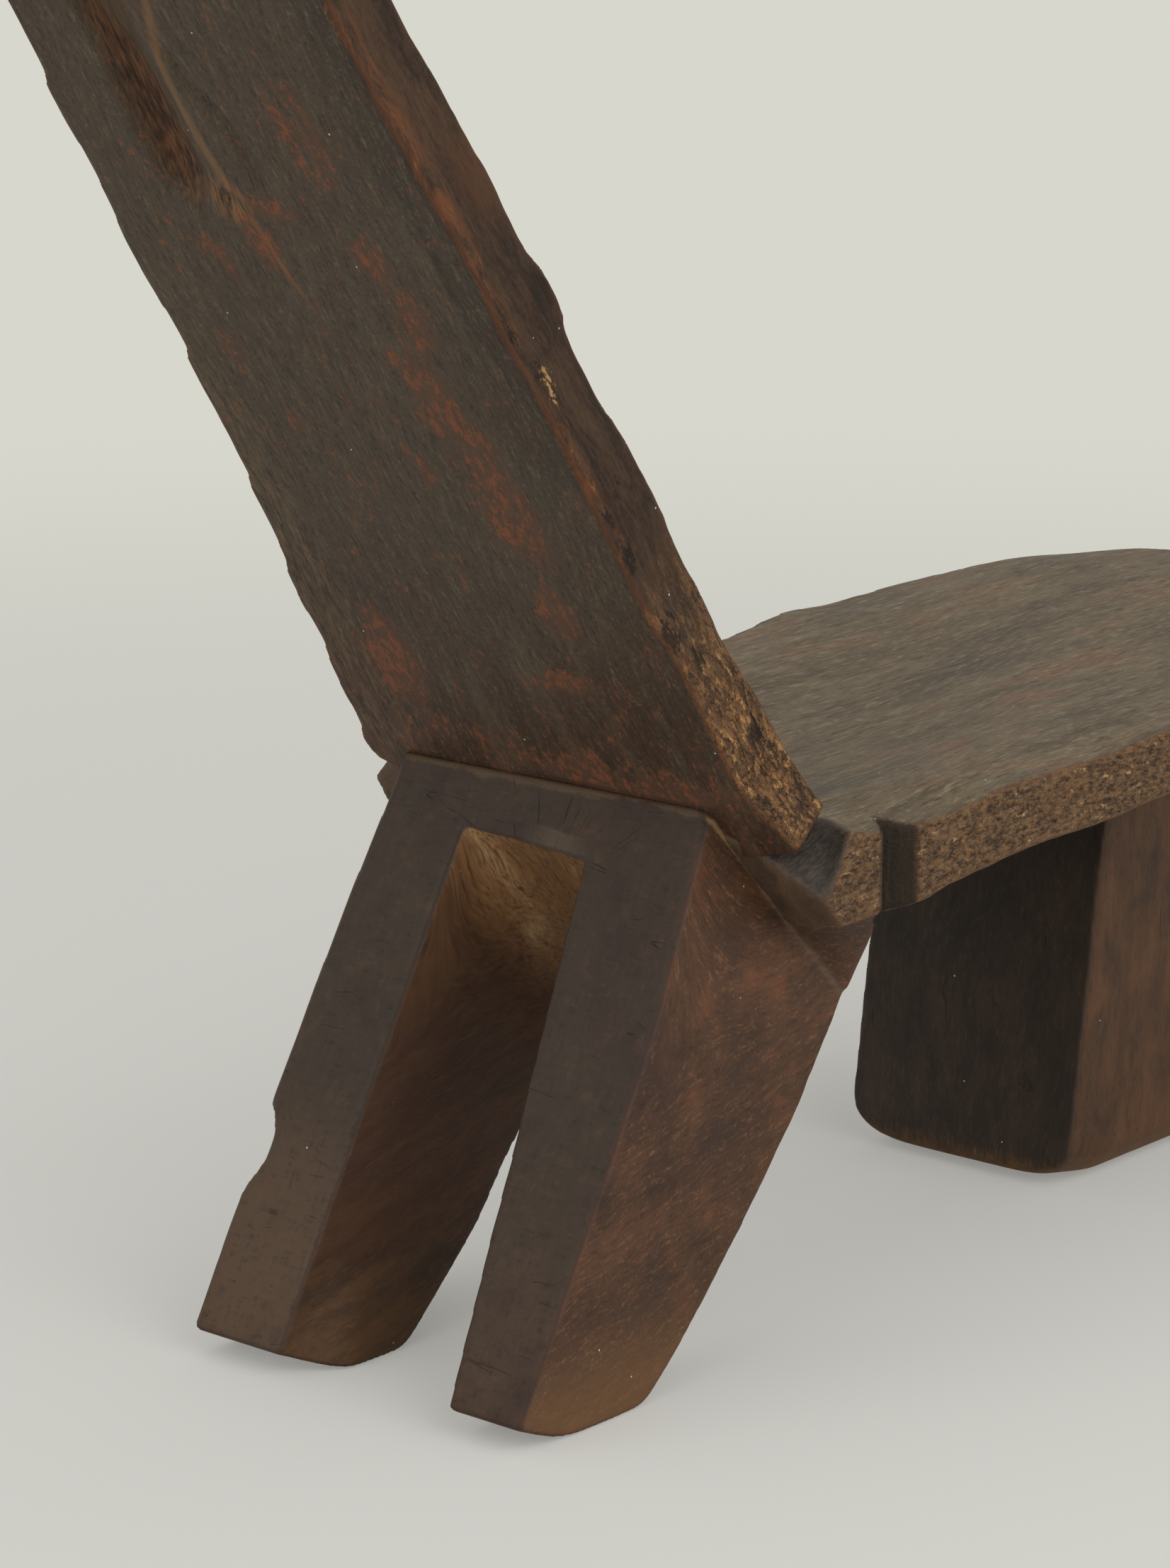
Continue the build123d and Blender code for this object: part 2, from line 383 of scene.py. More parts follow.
class Carving(Graph):
    """A Geometry Nodes tree that carves one member from its sizes."""

    def __init__(self, name, sizes):
        super().__init__(bpy.data.node_groups.new(name, "GeometryNodeTree"))
        interface = self.tree.interface
        interface.new_socket("Geometry", in_out="OUTPUT", socket_type="NodeSocketGeometry")
        self.values = {}
        for key in sizes.__annotations__:
            prop = sizes.bl_rna.properties[key]
            if prop.unit == "LENGTH":
                socket = interface.new_socket(prop.name, in_out="INPUT",
                                              socket_type="NodeSocketFloat")
                self.values[socket.identifier] = getattr(sizes, key)
        self.entry = self.tree.nodes.new("NodeGroupInput")
        self.sizes = sizes
        self.spot = self.add("GeometryNodeInputPosition")
        self.x, self.y, self.z = self.split(self.spot)
        self.right = -self.x

    def size(self, key):
        """The tree's input for a length, in millimetres."""
        title = self.sizes.bl_rna.properties[key].name
        return Term(self, self.entry.outputs[title]) * 1000.0

    def carve(self, field, low, high, cell):
        """The surface where the field of distances is zero, inside a box of cells."""
        inputs = {"Density": -field, "Background": -cell, "Min": low, "Max": high}
        for index, axis in enumerate("XYZ"):
            inputs["Resolution " + axis] = int((high[index] - low[index]) / cell) + 1
        volume = self.add("GeometryNodeVolumeCube", None, inputs)
        return self.add("GeometryNodeVolumeToMesh", None, {"Volume": volume, "Threshold": 0.0})

    def mark(self, mesh, name, value):
        """Keeps a value on the points of the mesh for the material."""
        return self.add("GeometryNodeStoreNamedAttribute",
                        {"data_type": "FLOAT", "domain": "POINT"},
                        {"Geometry": mesh, "Name": name, "Value": value})

    def near(self, face, faces, reach):
        """1 where the surface is this face, falling to 0 at reach from it."""
        return self.ramp(self.highest(*faces) - face, reach, 0.0)

    def mark_faces(self, mesh, faces, named, reach=4.0, blur=2.5):
        """Keeps where each named face is, and how near the arrises are."""
        total = -1.0
        for face in faces.values():
            total = self.near(face, faces.values(), reach) + total
        mesh = self.mark(mesh, "arris", self.highest(self.lowest(total, 1.0), 0.0))
        for name in named:
            mesh = self.mark(mesh, name, self.near(faces[name], faces.values(), blur))
        return mesh

    def place(self, mesh, tilt, forward, up, material):
        """Turns the mesh about the sideways axis, puts it in the frame and ends the tree."""
        turned = self.add("GeometryNodeTransform", None, {
            "Geometry": mesh,
            "Translation": (0.0, (CREASE_Y - forward) * MM, up * MM),
            "Rotation": (tilt, 0.0, 0.0),
            "Scale": (MM, MM, MM)})
        low, high = cad_box
        held = self.add("GeometryNodeInputPosition")
        held = self.calc("MINIMUM", self.calc("MAXIMUM", held, tuple(low)), tuple(high))
        held = self.add("GeometryNodeSetPosition", None, {"Geometry": turned, "Position": held})
        real = self.add("GeometryNodeRealizeInstances", None, {"Geometry": held})
        dressed = self.add("GeometryNodeSetMaterial", None,
                           {"Geometry": real, "Material": material})
        smooth = self.add("GeometryNodeSetShadeSmooth", None, {"Geometry": dressed})
        end = self.tree.nodes.new("NodeGroupOutput")
        self.tree.links.new(smooth.socket, end.inputs[0])

    def finished(self, name):
        """The carved mesh as a plain object."""
        blank = bpy.data.objects.new(name + "_blank", bpy.data.meshes.new(name + "_blank"))
        bpy.context.scene.collection.objects.link(blank)
        modifier = blank.modifiers.new("Carving", "NODES")
        modifier.node_group = self.tree
        for identifier, value in self.values.items():
            modifier[identifier] = value
        graph = bpy.context.evaluated_depsgraph_get()
        mesh = bpy.data.meshes.new_from_object(blank.evaluated_get(graph))
        if not mesh.polygons:
            raise RuntimeError(name + " came out empty")
        bpy.data.objects.remove(blank)
        mesh.name = name
        piece = bpy.data.objects.new(name, mesh)
        bpy.context.scene.collection.objects.link(piece)
        return piece


def backrest(sizes, material):
    """The leaning board. Its own axes: y out of its back, z up the board."""
    g = Carving("Backrest", sizes)
    right, up, depth = g.right, g.z, -g.y
    spot = g.spot
    thick = g.size("thickness")
    tall = g.size("height")
    rough = g.size("unevenness")
    waist_up, crest_down = 48.0, 62.0       # where the two widths are taken
    taper = (g.size("waist") - g.size("crest")) * 0.5 / (tall - crest_down)
    straight = g.size("waist") * 0.5 - (up - waist_up) * taper

    # hand-cut edges: (up the board, how far the edge stands out past the straight line)
    right_back = g.curve(up, [(-30, 33), (-17, 20.3), (-6, 15.0), (6, 8.0), (22, 4.2), (70, 5.2),
                              (88, 5.4), (104, 3.0), (165, 2.2), (195, 3.4), (230, 2.8),
                              (254, 0.4), (276, 2.2), (298, 1.8), (332, -0.6), (382, -2.4),
                              (410, -1.4), (480, 0.6), (600, -0.6)])
    right_front = g.curve(up, [(-30, 17), (-22, 14.5), (2, 8.0), (40, 6.2), (76, 0.9),
                               (100, 1.6), (114, 0.9), (148, 3.2), (184, 1.2), (206, -1.7),
                               (229, -0.9), (254, 4.2), (271, 0.4), (288, -0.5), (305, 0.9),
                               (321, -0.4), (350, -1.8), (386, -4.1), (480, -1.0), (600, -1.0)])
    left_edge = g.curve(up, [(-30, 6.0), (-8, 9.0), (1, 11.8), (14, 8.6), (32, 9.1), (56, 6.6),
                             (68, 5.3), (85, 7.3), (108, 3.6), (122, 2.0), (153, 1.3),
                             (158, -0.6), (191, -0.6), (207, 0.3), (221, -0.2), (229, -2.4),
                             (252, -0.2), (278, 1.2), (300, -0.4), (322, -0.9), (355, 1.8),
                             (364, -0.9), (392, -1.8), (410, -0.6), (480, -0.6), (600, 0.4)])
    ripple = g.noise(spot, 17.0, 2.0, seed=1)
    right_gain, left_gain = 2.4, 1.6        # gives back what rounding the arrises takes off
    right_side = right - straight - g.blend(depth / thick, right_back, right_front) + ripple
    right_side = right_side - right_gain
    left_side = -right - straight - left_edge + ripple - left_gain

    waves = g.noise(g.join(g.x, g.y, g.z * 0.45), 60.0, 1.0, seed=2) * rough
    back = g.y + waves
    front = depth - thick + g.noise(spot, 70.0, 1.0, seed=3) * rough + rough
    half_crest = 82.0
    arch = right * right * (1.0 / (half_crest * half_crest)) * g.size("rise")
    top = up - tall + arch + g.noise(spot, 30.0, 1.0, seed=4) * 0.6 + 0.6

    # the foot hangs below the crease, slanted to its corners and shorter on the left
    leftness = g.ramp(right, 20.0, -20.0)
    foot, shorter, half_foot, slant = 17.4, 11.0, 120.7, 0.35
    end = (up + foot - leftness * shorter + (half_foot - abs(right)) * slant) * -0.94
    buried = 46.0                           # how far the board runs down inside the block
    stop = -up - buried

    # the eroded hollow: it opens from its foot and widens up the board, with fibrous ridges
    hollow_left, hollow_half = 35.0, 16.0
    middle = g.noise(spot, 45.0, 2.0, seed=5) * 3.0 - hollow_left
    half = g.ramp(up, 290.0, 320.0) * hollow_half
    across = (right - middle) / (half + 0.5)
    fade = g.ramp(up, 294.0, 325.0) * g.ramp(up, 560.0, 470.0)
    ribs = g.noise(g.join(g.x, g.y * 0.4, g.z * 0.09), 5.0, 2.0, seed=6) * 1.3
    basin = g.ramp(across, -1.1, -0.7) * g.ramp(across, 1.1, -0.3)
    hollow = basin * fade * (g.size("hollow") + ribs)
    groove = g.bump(right, 4.0 - g.ramp(up, 325.0, 395.0) * 19.0, 6.0)
    groove = groove * g.ramp(up, 312.0, 330.0) * g.ramp(up, 400.0, 370.0)
    knot = g.bump(up, 309.0, 10.0) * g.bump(right, -21.0, 6.0) * 3.0
    back = back + hollow + knot + groove * 2.0

    # the right edge has crumbled near the seat
    crumble = g.ramp(up, 190.0, 40.0) * g.ramp(up, -25.0, 20.0)
    pits = g.noise(g.join(g.x, g.y, g.z * 0.35), 6.0, 3.0, 0.6, seed=7)
    right_side = right_side + crumble * (pits * 1.1 + 0.2)

    faces = {"back": back, "front": front, "side": g.highest(right_side, left_side),
             "crest": top, "end": end}
    wear = g.size("wear") * (1.0 + g.noise(spot, 34.0, 2.0, seed=8) * 0.45)
    body = g.highest(right_side, left_side, soft=wear)
    body = g.highest(body, top, soft=42.0)
    body = g.highest(body, back, front, soft=wear)
    body = g.highest(body, end, soft=wear)
    body = g.highest(body, stop)
    mesh = g.carve(body, low=(-124.0, -34.0, -48.0), high=(124.0, 3.0, 593.0), cell=1.85)
    mesh = g.mark_faces(mesh, faces, ["back", "side"])
    mesh = g.mark(mesh, "hollow", basin * fade)
    g.place(mesh, tilt=-sizes.recline, forward=0.0, up=CREASE_HEIGHT, material=material)
    return g.finished("backrest")


def facet_distances(g, right, forward, up):
    """The cuts that shape the lugs: under the rear corners, and scooped out of the tips."""
    aside = abs(right)

    def cut(point, outward):
        """How far a spot lies outside a flat cut through a point."""
        return ((aside - point[0]) * outward[0] + (forward - point[1]) * outward[1]
                + (up - point[2]) * outward[2])

    dip = g.ramp(up, 205.0, 232.0) * 4.0 + g.ramp(up, 224.0, 240.0) * 2.0
    dip = dip * g.ramp(aside, 82.0, 98.0)
    lower = cut((88.0, -5.0, 242.0), (-0.122, -0.741, -0.661)) + dip
    floor = cut((130.0, 19.3, 210.2), (0.449, -0.581, 0.678))
    wall = cut((134.7, 29.7, 236.0), (-0.408, -0.819, 0.404))
    scoop = g.lowest(g.lowest(floor, wall, soft=7.0) + 1.8, aside - 100.0)
    worn = cut((101.0, 0.0, 236.0), (0.68, -0.35, 0.64))
    upper = g.blend(g.ramp(right, 5.0, -5.0), scoop, worn)
    return lower, upper


def notch_distance(g, aside, forward):
    """The notch: one saw cut nearly square to the edge, and an oblique one that meets it."""
    inward = 131.0 - aside
    square = (forward - 56.0 - inward * 0.80) * -0.78
    oblique = (forward - 74.5 + inward * 0.90) * 0.74
    return g.highest(square, oblique)


def seat(sizes, material):
    """The dished slab with its two rear lugs. Its own axes: upright, unturned."""
    g = Carving("Seat", sizes)
    spot = g.spot
    right = g.right
    aside = abs(right)
    forward = CREASE_Y - g.y
    up = g.z
    reach = g.size("reach")
    rough = g.size("unevenness")
    widest = g.size("widest") * 0.5

    # plan: (forward, each edge's half-width as a share of the widest)
    right_plan = g.curve(forward, [(0, 0.890), (36, 0.891), (75, 0.911), (114, 0.932),
                                   (145, 0.947), (200, 0.962), (248, 0.984), (320, 0.984),
                                   (420, 0.992), (455, 1.0), (490, 0.996), (534, 0.950),
                                   (576, 0.860), (604, 0.700)])
    left_plan = g.curve(forward, [(0, 0.800), (36, 0.822), (80, 0.880), (120, 0.905),
                                  (200, 0.930), (262, 0.940), (294, 0.950), (322, 0.968),
                                  (388, 0.990), (443, 0.985), (483, 0.960), (518, 0.930),
                                  (545, 0.880), (576, 0.800), (604, 0.650)])
    ripple = g.noise(g.join(g.x, g.y, g.z * 0.5), 30.0, 2.0, seed=11) + 0.5
    right_side = right - right_plan * widest + ripple
    left_side = -right - left_plan * widest + ripple
    bow_depth, half_bow = 24.0, 118.0
    bow = right * right * (bow_depth / (half_bow * half_bow))
    front_end = forward - reach + bow + g.noise(spot, 40.0, 1.0, seed=12) * 0.8 + 0.8

    # top: rises to the front, dished, and worn down towards its edges
    rear_level, front_fall = 238.0, 6.0
    level = forward * tan(radians(SEAT_PITCH)) + rear_level
    level = level - g.ramp(forward, 500.0, 605.0) * front_fall
    dish = g.ramp(aside, 122.0, 20.0) * g.ramp(forward, 600.0, 60.0) * g.size("dish")

    # (forward, how far the edge is worn below the middle)
    drop = g.curve(forward, [(0, 4.0), (36, 5.3), (75, 11.0), (114, 9.0), (145, 5.0), (171, 5.6),
                             (200, 5.8), (226, 4.0), (260, 3.0), (330, 3.5), (420, 3.0),
                             (520, 4.0), (604, 7.0)])
    drop = drop - g.ramp(right, 0.0, -20.0) * g.bump(forward, 328.0, 48.0) * 3.5
    shoulder = g.ramp(aside, 92.0, 142.0) * drop
    waves = g.noise(g.join(g.x, g.y * 0.4, g.z), 50.0, 2.0, seed=13) * rough
    top = up - level + dish + shoulder + waves + rough * 0.5

    # underside: (forward, height of its edge), and rounded down to a keel along the middle
    rim_line = g.curve(forward, [(0, 194), (52, 198), (74, 197.8), (100, 201.5), (120, 203.8),
                                 (156, 207.4), (203, 208.6), (250, 212.2), (330, 215.5),
                                 (420, 219.5), (520, 225), (604, 233)])
    half_keel = 138.0
    share = aside * (1.0 / half_keel)
    hang = (g.size("keel") - g.size("rim")) * (1.0 - share * share)
    below = rim_line - hang - up + g.noise(spot, 45.0, 2.0, seed=14) * rough

    lower, upper = facet_distances(g, right, forward, up)
    lower = lower + g.noise(spot, 35.0, 1.0, seed=15) * 0.5

    # above the block, nothing of the lugs shows behind the board's back
    lean, block_top = radians(RECLINE), 230.0
    behind_board = 1.0 - forward * cos(lean) - (up - 242.0) * sin(lean)
    lower = g.highest(lower, g.lowest(behind_board, (up - block_top) * 0.5))

    notch = notch_distance(g, aside, forward)
    faces = {"side": g.highest(right_side, left_side), "top": top, "below": below,
             "facet": lower, "tip": upper, "front": front_end, "notch": -notch}
    wear = g.size("wear") * (1.0 + g.noise(spot, 34.0, 2.0, seed=16) * 0.4)
    body = g.highest(right_side, left_side, soft=wear)
    body = g.highest(body, front_end, soft=50.0)
    body = g.highest(body, top, soft=wear)
    body = g.highest(body, below, soft=wear * (0.4 + g.ramp(forward, 60.0, 110.0) * 0.9))
    body = g.highest(body, lower, upper, soft=1.6)
    body = g.highest(body, -notch, soft=1.2)
    mesh = g.carve(body, low=(-148.0, CREASE_Y - 607.0, 180.0),
                   high=(148.0, CREASE_Y + 8.0, 264.0), cell=2.15)
    mesh = g.mark_faces(mesh, faces, ["side", "top", "facet", "tip", "notch"])
    g.place(mesh, tilt=0.0, forward=CREASE_Y, up=0.0, material=material)
    return g.finished("seat")


def rear_legs(sizes, material):
    """The raked block slotted into two legs. Its own axes: y out of its back, z up the face."""
    g = Carving("Rear legs", sizes)
    rake = sizes.rake
    spot = g.spot
    right = g.right
    aside = abs(right)
    depth = -g.y
    forward = g.z * sin(rake) + depth * cos(rake)
    up = CREASE_HEIGHT + g.z * cos(rake) - depth * sin(rake)
    rough = g.size("unevenness")
    lower = facet_distances(g, right, forward, up)[0]
    leftness = g.ramp(right, 20.0, -20.0)

    # the sides: upright below, drawn in to the crease, and flared out to carry the seat
    half = g.size("width") * 0.5
    narrow = half - g.size("crease_width") * 0.5
    knee, drawn_in = 140.0, 262.0           # heights between which the block narrows
    straight = half - g.ramp(up, knee, drawn_in) * narrow * (1.1 - leftness * 0.5)
    flare_foot, foot_in_front, flare_top, flare_reach = 179.0, 146.0, 197.0, 129.0
    start = g.lowest(flare_foot - (forward - 50.0) * 0.88, flare_foot)
    start = g.highest(start, foot_in_front)
    share = g.lowest(g.highest((up - start) / (flare_top - start), 0.0, soft=0.25), 1.0)
    flare = share ** 1.1 * (flare_reach - straight) * (1.0 - leftness * 0.7)
    ripple = g.noise(spot, 40.0, 2.0, seed=21) * rough * 1.3
    flared = g.highest(aside - straight - flare + ripple, lower + 0.5, soft=1.6)
    notch = -0.5 - notch_distance(g, aside, forward)
    inside_seat, under_notch = 208.0, 199.0         # heights where the flare ends
    flared = g.highest(flared, up - inside_seat, g.lowest(notch, up - under_notch))
    corner = (right - 85.0) * 0.64 + (up - 236.7) * 0.77 - forward * 0.35
    right_side = g.highest(g.lowest(right - straight + ripple, flared), corner)

    # the left edge: (up, depth of the nick in it)
    nick = g.curve(up, [(0, 0.0), (60, -0.4), (68, 1.2), (76, 5.0), (84, 6.6), (91, 4.8),
                        (97, 1.6), (103, -1.6), (116, -1.2), (150, -0.6), (260, -0.6)])
    nick = nick * g.ramp(depth, 34.0, 8.0)
    left_side = g.lowest(-right - straight + nick + ripple, flared)
    back = g.y + g.noise(g.join(g.x, g.y, g.z * 0.5), 55.0, 1.0, seed=22) * rough
    floor_depth = g.size("depth") - CREASE_HEIGHT * tan(rake)

    # the front: (up, how far the face has come forward of its foot)
    front_line = floor_depth + g.curve(up, [(0, 0.0), (18, 16.0), (39, 35.6), (75, 68.6),
                                            (106, 94.5), (136, 116.0), (162, 134.8),
                                            (182, 152.5), (200, 168.0), (243, 198.0)])
    bulge = g.highest(right + 42.0, 0.0) * leftness
    front = forward - front_line + g.highest(aside - half, 0.0) * 1.75 + bulge * 0.7
    squared = 0.766                         # from a level distance to one square to the face
    front = front * squared + g.noise(spot, 24.0, 2.0, seed=23) * 1.2

    # the sole: flat in the middle, its heel and toe worn up
    heel_back, toe_short = 104.0, 2.0
    heel = (-up - (forward + heel_back) * 0.42) * 0.92
    outer = g.highest(right - 82.0, 0.0) * 0.5 + g.highest(right + 50.0, 0.0) * leftness
    toe = (-up + (forward - floor_depth + toe_short + outer) * 0.84) * squared
    sole = g.highest(-up, heel, toe, soft=7.0)

    # the slot, under a roof that falls to the front
    top_right, slot_top = 27.0, 218.0       # the right wall's place at the slot's top
    lean = (g.size("slot_right") - top_right) / slot_top
    inward = g.ramp(up, 78.0, 0.0) * g.ramp(depth, 3.0, 34.0) * 14.0
    slot_left = -right - g.size("slot_left") + inward + g.noise(spot, 45.0, 2.0, seed=24)
    slot_right = right - g.size("slot_right") + up * lean + g.noise(spot, 45.0, 2.0, seed=25)
    roof = up - (CREASE_HEIGHT - g.size("slot_band")) + (forward + 14.0) * 0.95
    roof = roof + (right + 18.0) * 0.075
    roof = roof * 0.72 + g.noise(g.join(g.x, g.y, g.z * 0.5), 22.0, 2.0, seed=26) * 1.2
    open_back = g.highest(depth, 0.0)
    passage = g.highest(slot_left, roof, soft=4.0 + open_back * 1.1)
    passage = g.highest(passage, slot_right, soft=3.0 + open_back * 0.45)

    # the fork of the grain stands out a little inside the slot, high up
    fork = g.bump(right, 18.0 - (220.0 - up) * 0.16, 13.0) * g.ramp(depth, 4.0, 30.0)
    passage = passage + fork * g.ramp(up, 120.0, 175.0) * 5.0

    under_board = 0.4
    ceiling = g.highest(up - (CREASE_HEIGHT - under_board), up - CREASE_HEIGHT + forward * 0.8)
    chips = g.noise(spot, 17.0, 3.0, 0.6, seed=27)
    wear = g.size("wear") * (1.0 + g.highest(chips - 0.1, 0.0) * 3.0)
    faces = {"back": back, "side": g.highest(right_side, left_side), "front": front,
             "sole": sole, "slot": -passage}
    body = g.highest(right_side, left_side, soft=wear)
    body = g.highest(body, back, soft=wear)
    body = g.highest(body, front, soft=wear * 1.4)
    body = g.highest(body, -passage, soft=wear)
    body = g.highest(body, sole, soft=3.0)
    body = g.highest(body, ceiling)
    mesh = g.carve(body, low=(-132.0, -128.0, -296.0), high=(132.0, 4.0, 60.0), cell=1.75)
    mesh = g.mark_faces(mesh, faces, ["back", "side"])
    mesh = g.mark(mesh, "facet", g.ramp(abs(lower + 0.5), 2.0, 0.6))
    g.place(mesh, tilt=rake, forward=0.0, up=CREASE_HEIGHT, material=material)
    return g.finished("rear_legs")


def front_leg(sizes, material):
    """The broad front block. Its own axes: upright, unturned."""
    g = Carving("Front leg", sizes)
    spot = g.spot
    right = g.right
    forward = CREASE_Y - g.y
    up = g.z
    rough = g.size("unevenness")
    ripple = g.noise(spot, 38.0, 2.0, seed=31) * rough
    trim = 0.3                              # keeps the ripples inside the width
    right_side = right - g.size("width") * 0.5 + ripple + trim
    left_side = -right - g.size("width") * 0.5 + ripple + trim
    start = g.size("back")
    front_lean = radians(5.0)
    back = start + up * tan(sizes.lean) - forward + g.noise(spot, 60.0, 1.0, seed=32) * rough
    front = forward - start - g.size("depth") - up * tan(front_lean) + ripple + rough

    # the sole is a flat pillow: it rises at its edges, most at the two back corners
    half_sole = 65.0
    share = right * (1.0 / half_sole)
    lift = abs(share) ** 6.0 * 12.0 + 3.5
    nearby = g.ramp(forward, start + 40.0, start)
    pillow = lift * nearby + abs(share) ** 8.0 * 10.0 * (1.0 - nearby)
    sole = pillow - up
    faces = {"back": back, "side": g.highest(right_side, left_side), "front": front,
             "sole": sole}
    wear = g.size("wear") * (1.0 + g.noise(spot, 30.0, 2.0, seed=33) * 0.5)
    body = g.highest(right_side, left_side, soft=wear)
    body = g.highest(body, back, front, soft=wear)
    body = g.highest(body, sole, soft=14.0)
    inside_seat = 218.0
    body = g.highest(body, up - inside_seat + abs(right) * abs(right) * -0.002)
    mesh = g.carve(body, low=(-68.0, CREASE_Y - 436.0, -3.0),
                   high=(68.0, CREASE_Y - 284.0, 232.0), cell=1.9)
    mesh = g.mark_faces(mesh, faces, ["back", "side"])
    g.place(mesh, tilt=0.0, forward=CREASE_Y, up=0.0, material=material)
    return g.finished("front_leg")


# ---------------------------------------------------------------- finishes

class Finish(Graph):
    """A wood's shader tree. Its coordinates are the carving's, in millimetres."""

    def __init__(self, name):
        self.material = bpy.data.materials.new(name)
        self.material.use_nodes = True
        super().__init__(self.material.node_tree)
        self.shader = self.tree.nodes["Principled BSDF"]
        spot = self.add("ShaderNodeTexCoord", output="Object") * 1000.0
        x, y, z = self.split(spot)
        self.right = -x
        self.forward = CREASE_Y - y
        self.up = z
        self.spot = self.join(self.right, self.forward, self.up)

    def marked(self, name):
        """A value that the carving kept on the surface."""
        return self.add("ShaderNodeAttribute", {"attribute_name": name}, output="Fac")

    def turned(self, lean):
        """Distances across and along a direction in side view, lean degrees from upright."""
        lean = radians(lean)
        along = self.forward * sin(lean) + self.up * cos(lean)
        across = self.forward * cos(lean) - self.up * sin(lean)
        return across, along

    def grain(self, across, along, stretch=0.06, sway=4.0):
        """Coordinates squeezed along the grain, which sways a little."""
        drift = self.calc("SINE", along * 0.021 + self.right * 0.034) * sway
        return self.join(self.right + drift, across + drift, along * stretch)

    def fibres(self, grain):
        """Fine and middling streaks together, and broad bands, from about -1 to 1."""
        fine = self.noise(grain, 1.2, 1.0, 0.6, seed=41)
        middling = self.noise(grain, 3.2, 3.0, 0.72, seed=42)
        broad = self.noise(grain, 13.0, 3.0, 0.62, 0.4, seed=43)
        return middling * 1.4 + fine * 1.3, broad * 2.0

    def isolines(self, cloud, width):
        """Thin lines where a noise passes through its middle value."""
        return self.ramp(abs(cloud), width, width * 0.3)

    def patch(self, across, along, middle, reach):
        """1 at a middle place, falling to 0 at a reach on each side of it."""
        x, y = (across - middle[0]) / reach[0], (along - middle[1]) / reach[1]
        return self.ramp(x * x + y * y, 1.0, 0.0)

    def glaze(self, colour, amount, seen, mask, start, end):
        """Lays a share of a screen colour over a colour, as the mask goes from start to end."""
        return self.tint(self.ramp(mask, start, end) * amount, colour, shade(*seen))

    def dusted(self, colour):
        """A few specks of pale dust, a spacing apart."""
        spacing = 19.0
        near = self.cells(self.spot, spacing, "F1", 91) * spacing
        return self.glaze(colour, 0.8, (205, 205, 205), near, 0.55, 0.3)

    def finish(self, colour, height, roughness, shine=0.25):
        """Feeds the shader; height is in millimetres."""
        tree, shader = self.tree, self.shader
        tree.links.new(colour.socket, shader.inputs["Base Color"])
        tree.links.new(roughness.socket, shader.inputs["Roughness"])
        bump = self.add("ShaderNodeBump", None,
                        {"Height": height, "Distance": MM, "Strength": 1.0})
        tree.links.new(bump.socket, shader.inputs["Normal"])
        shader.inputs["Specular IOR Level"].default_value = shine
        return self.material


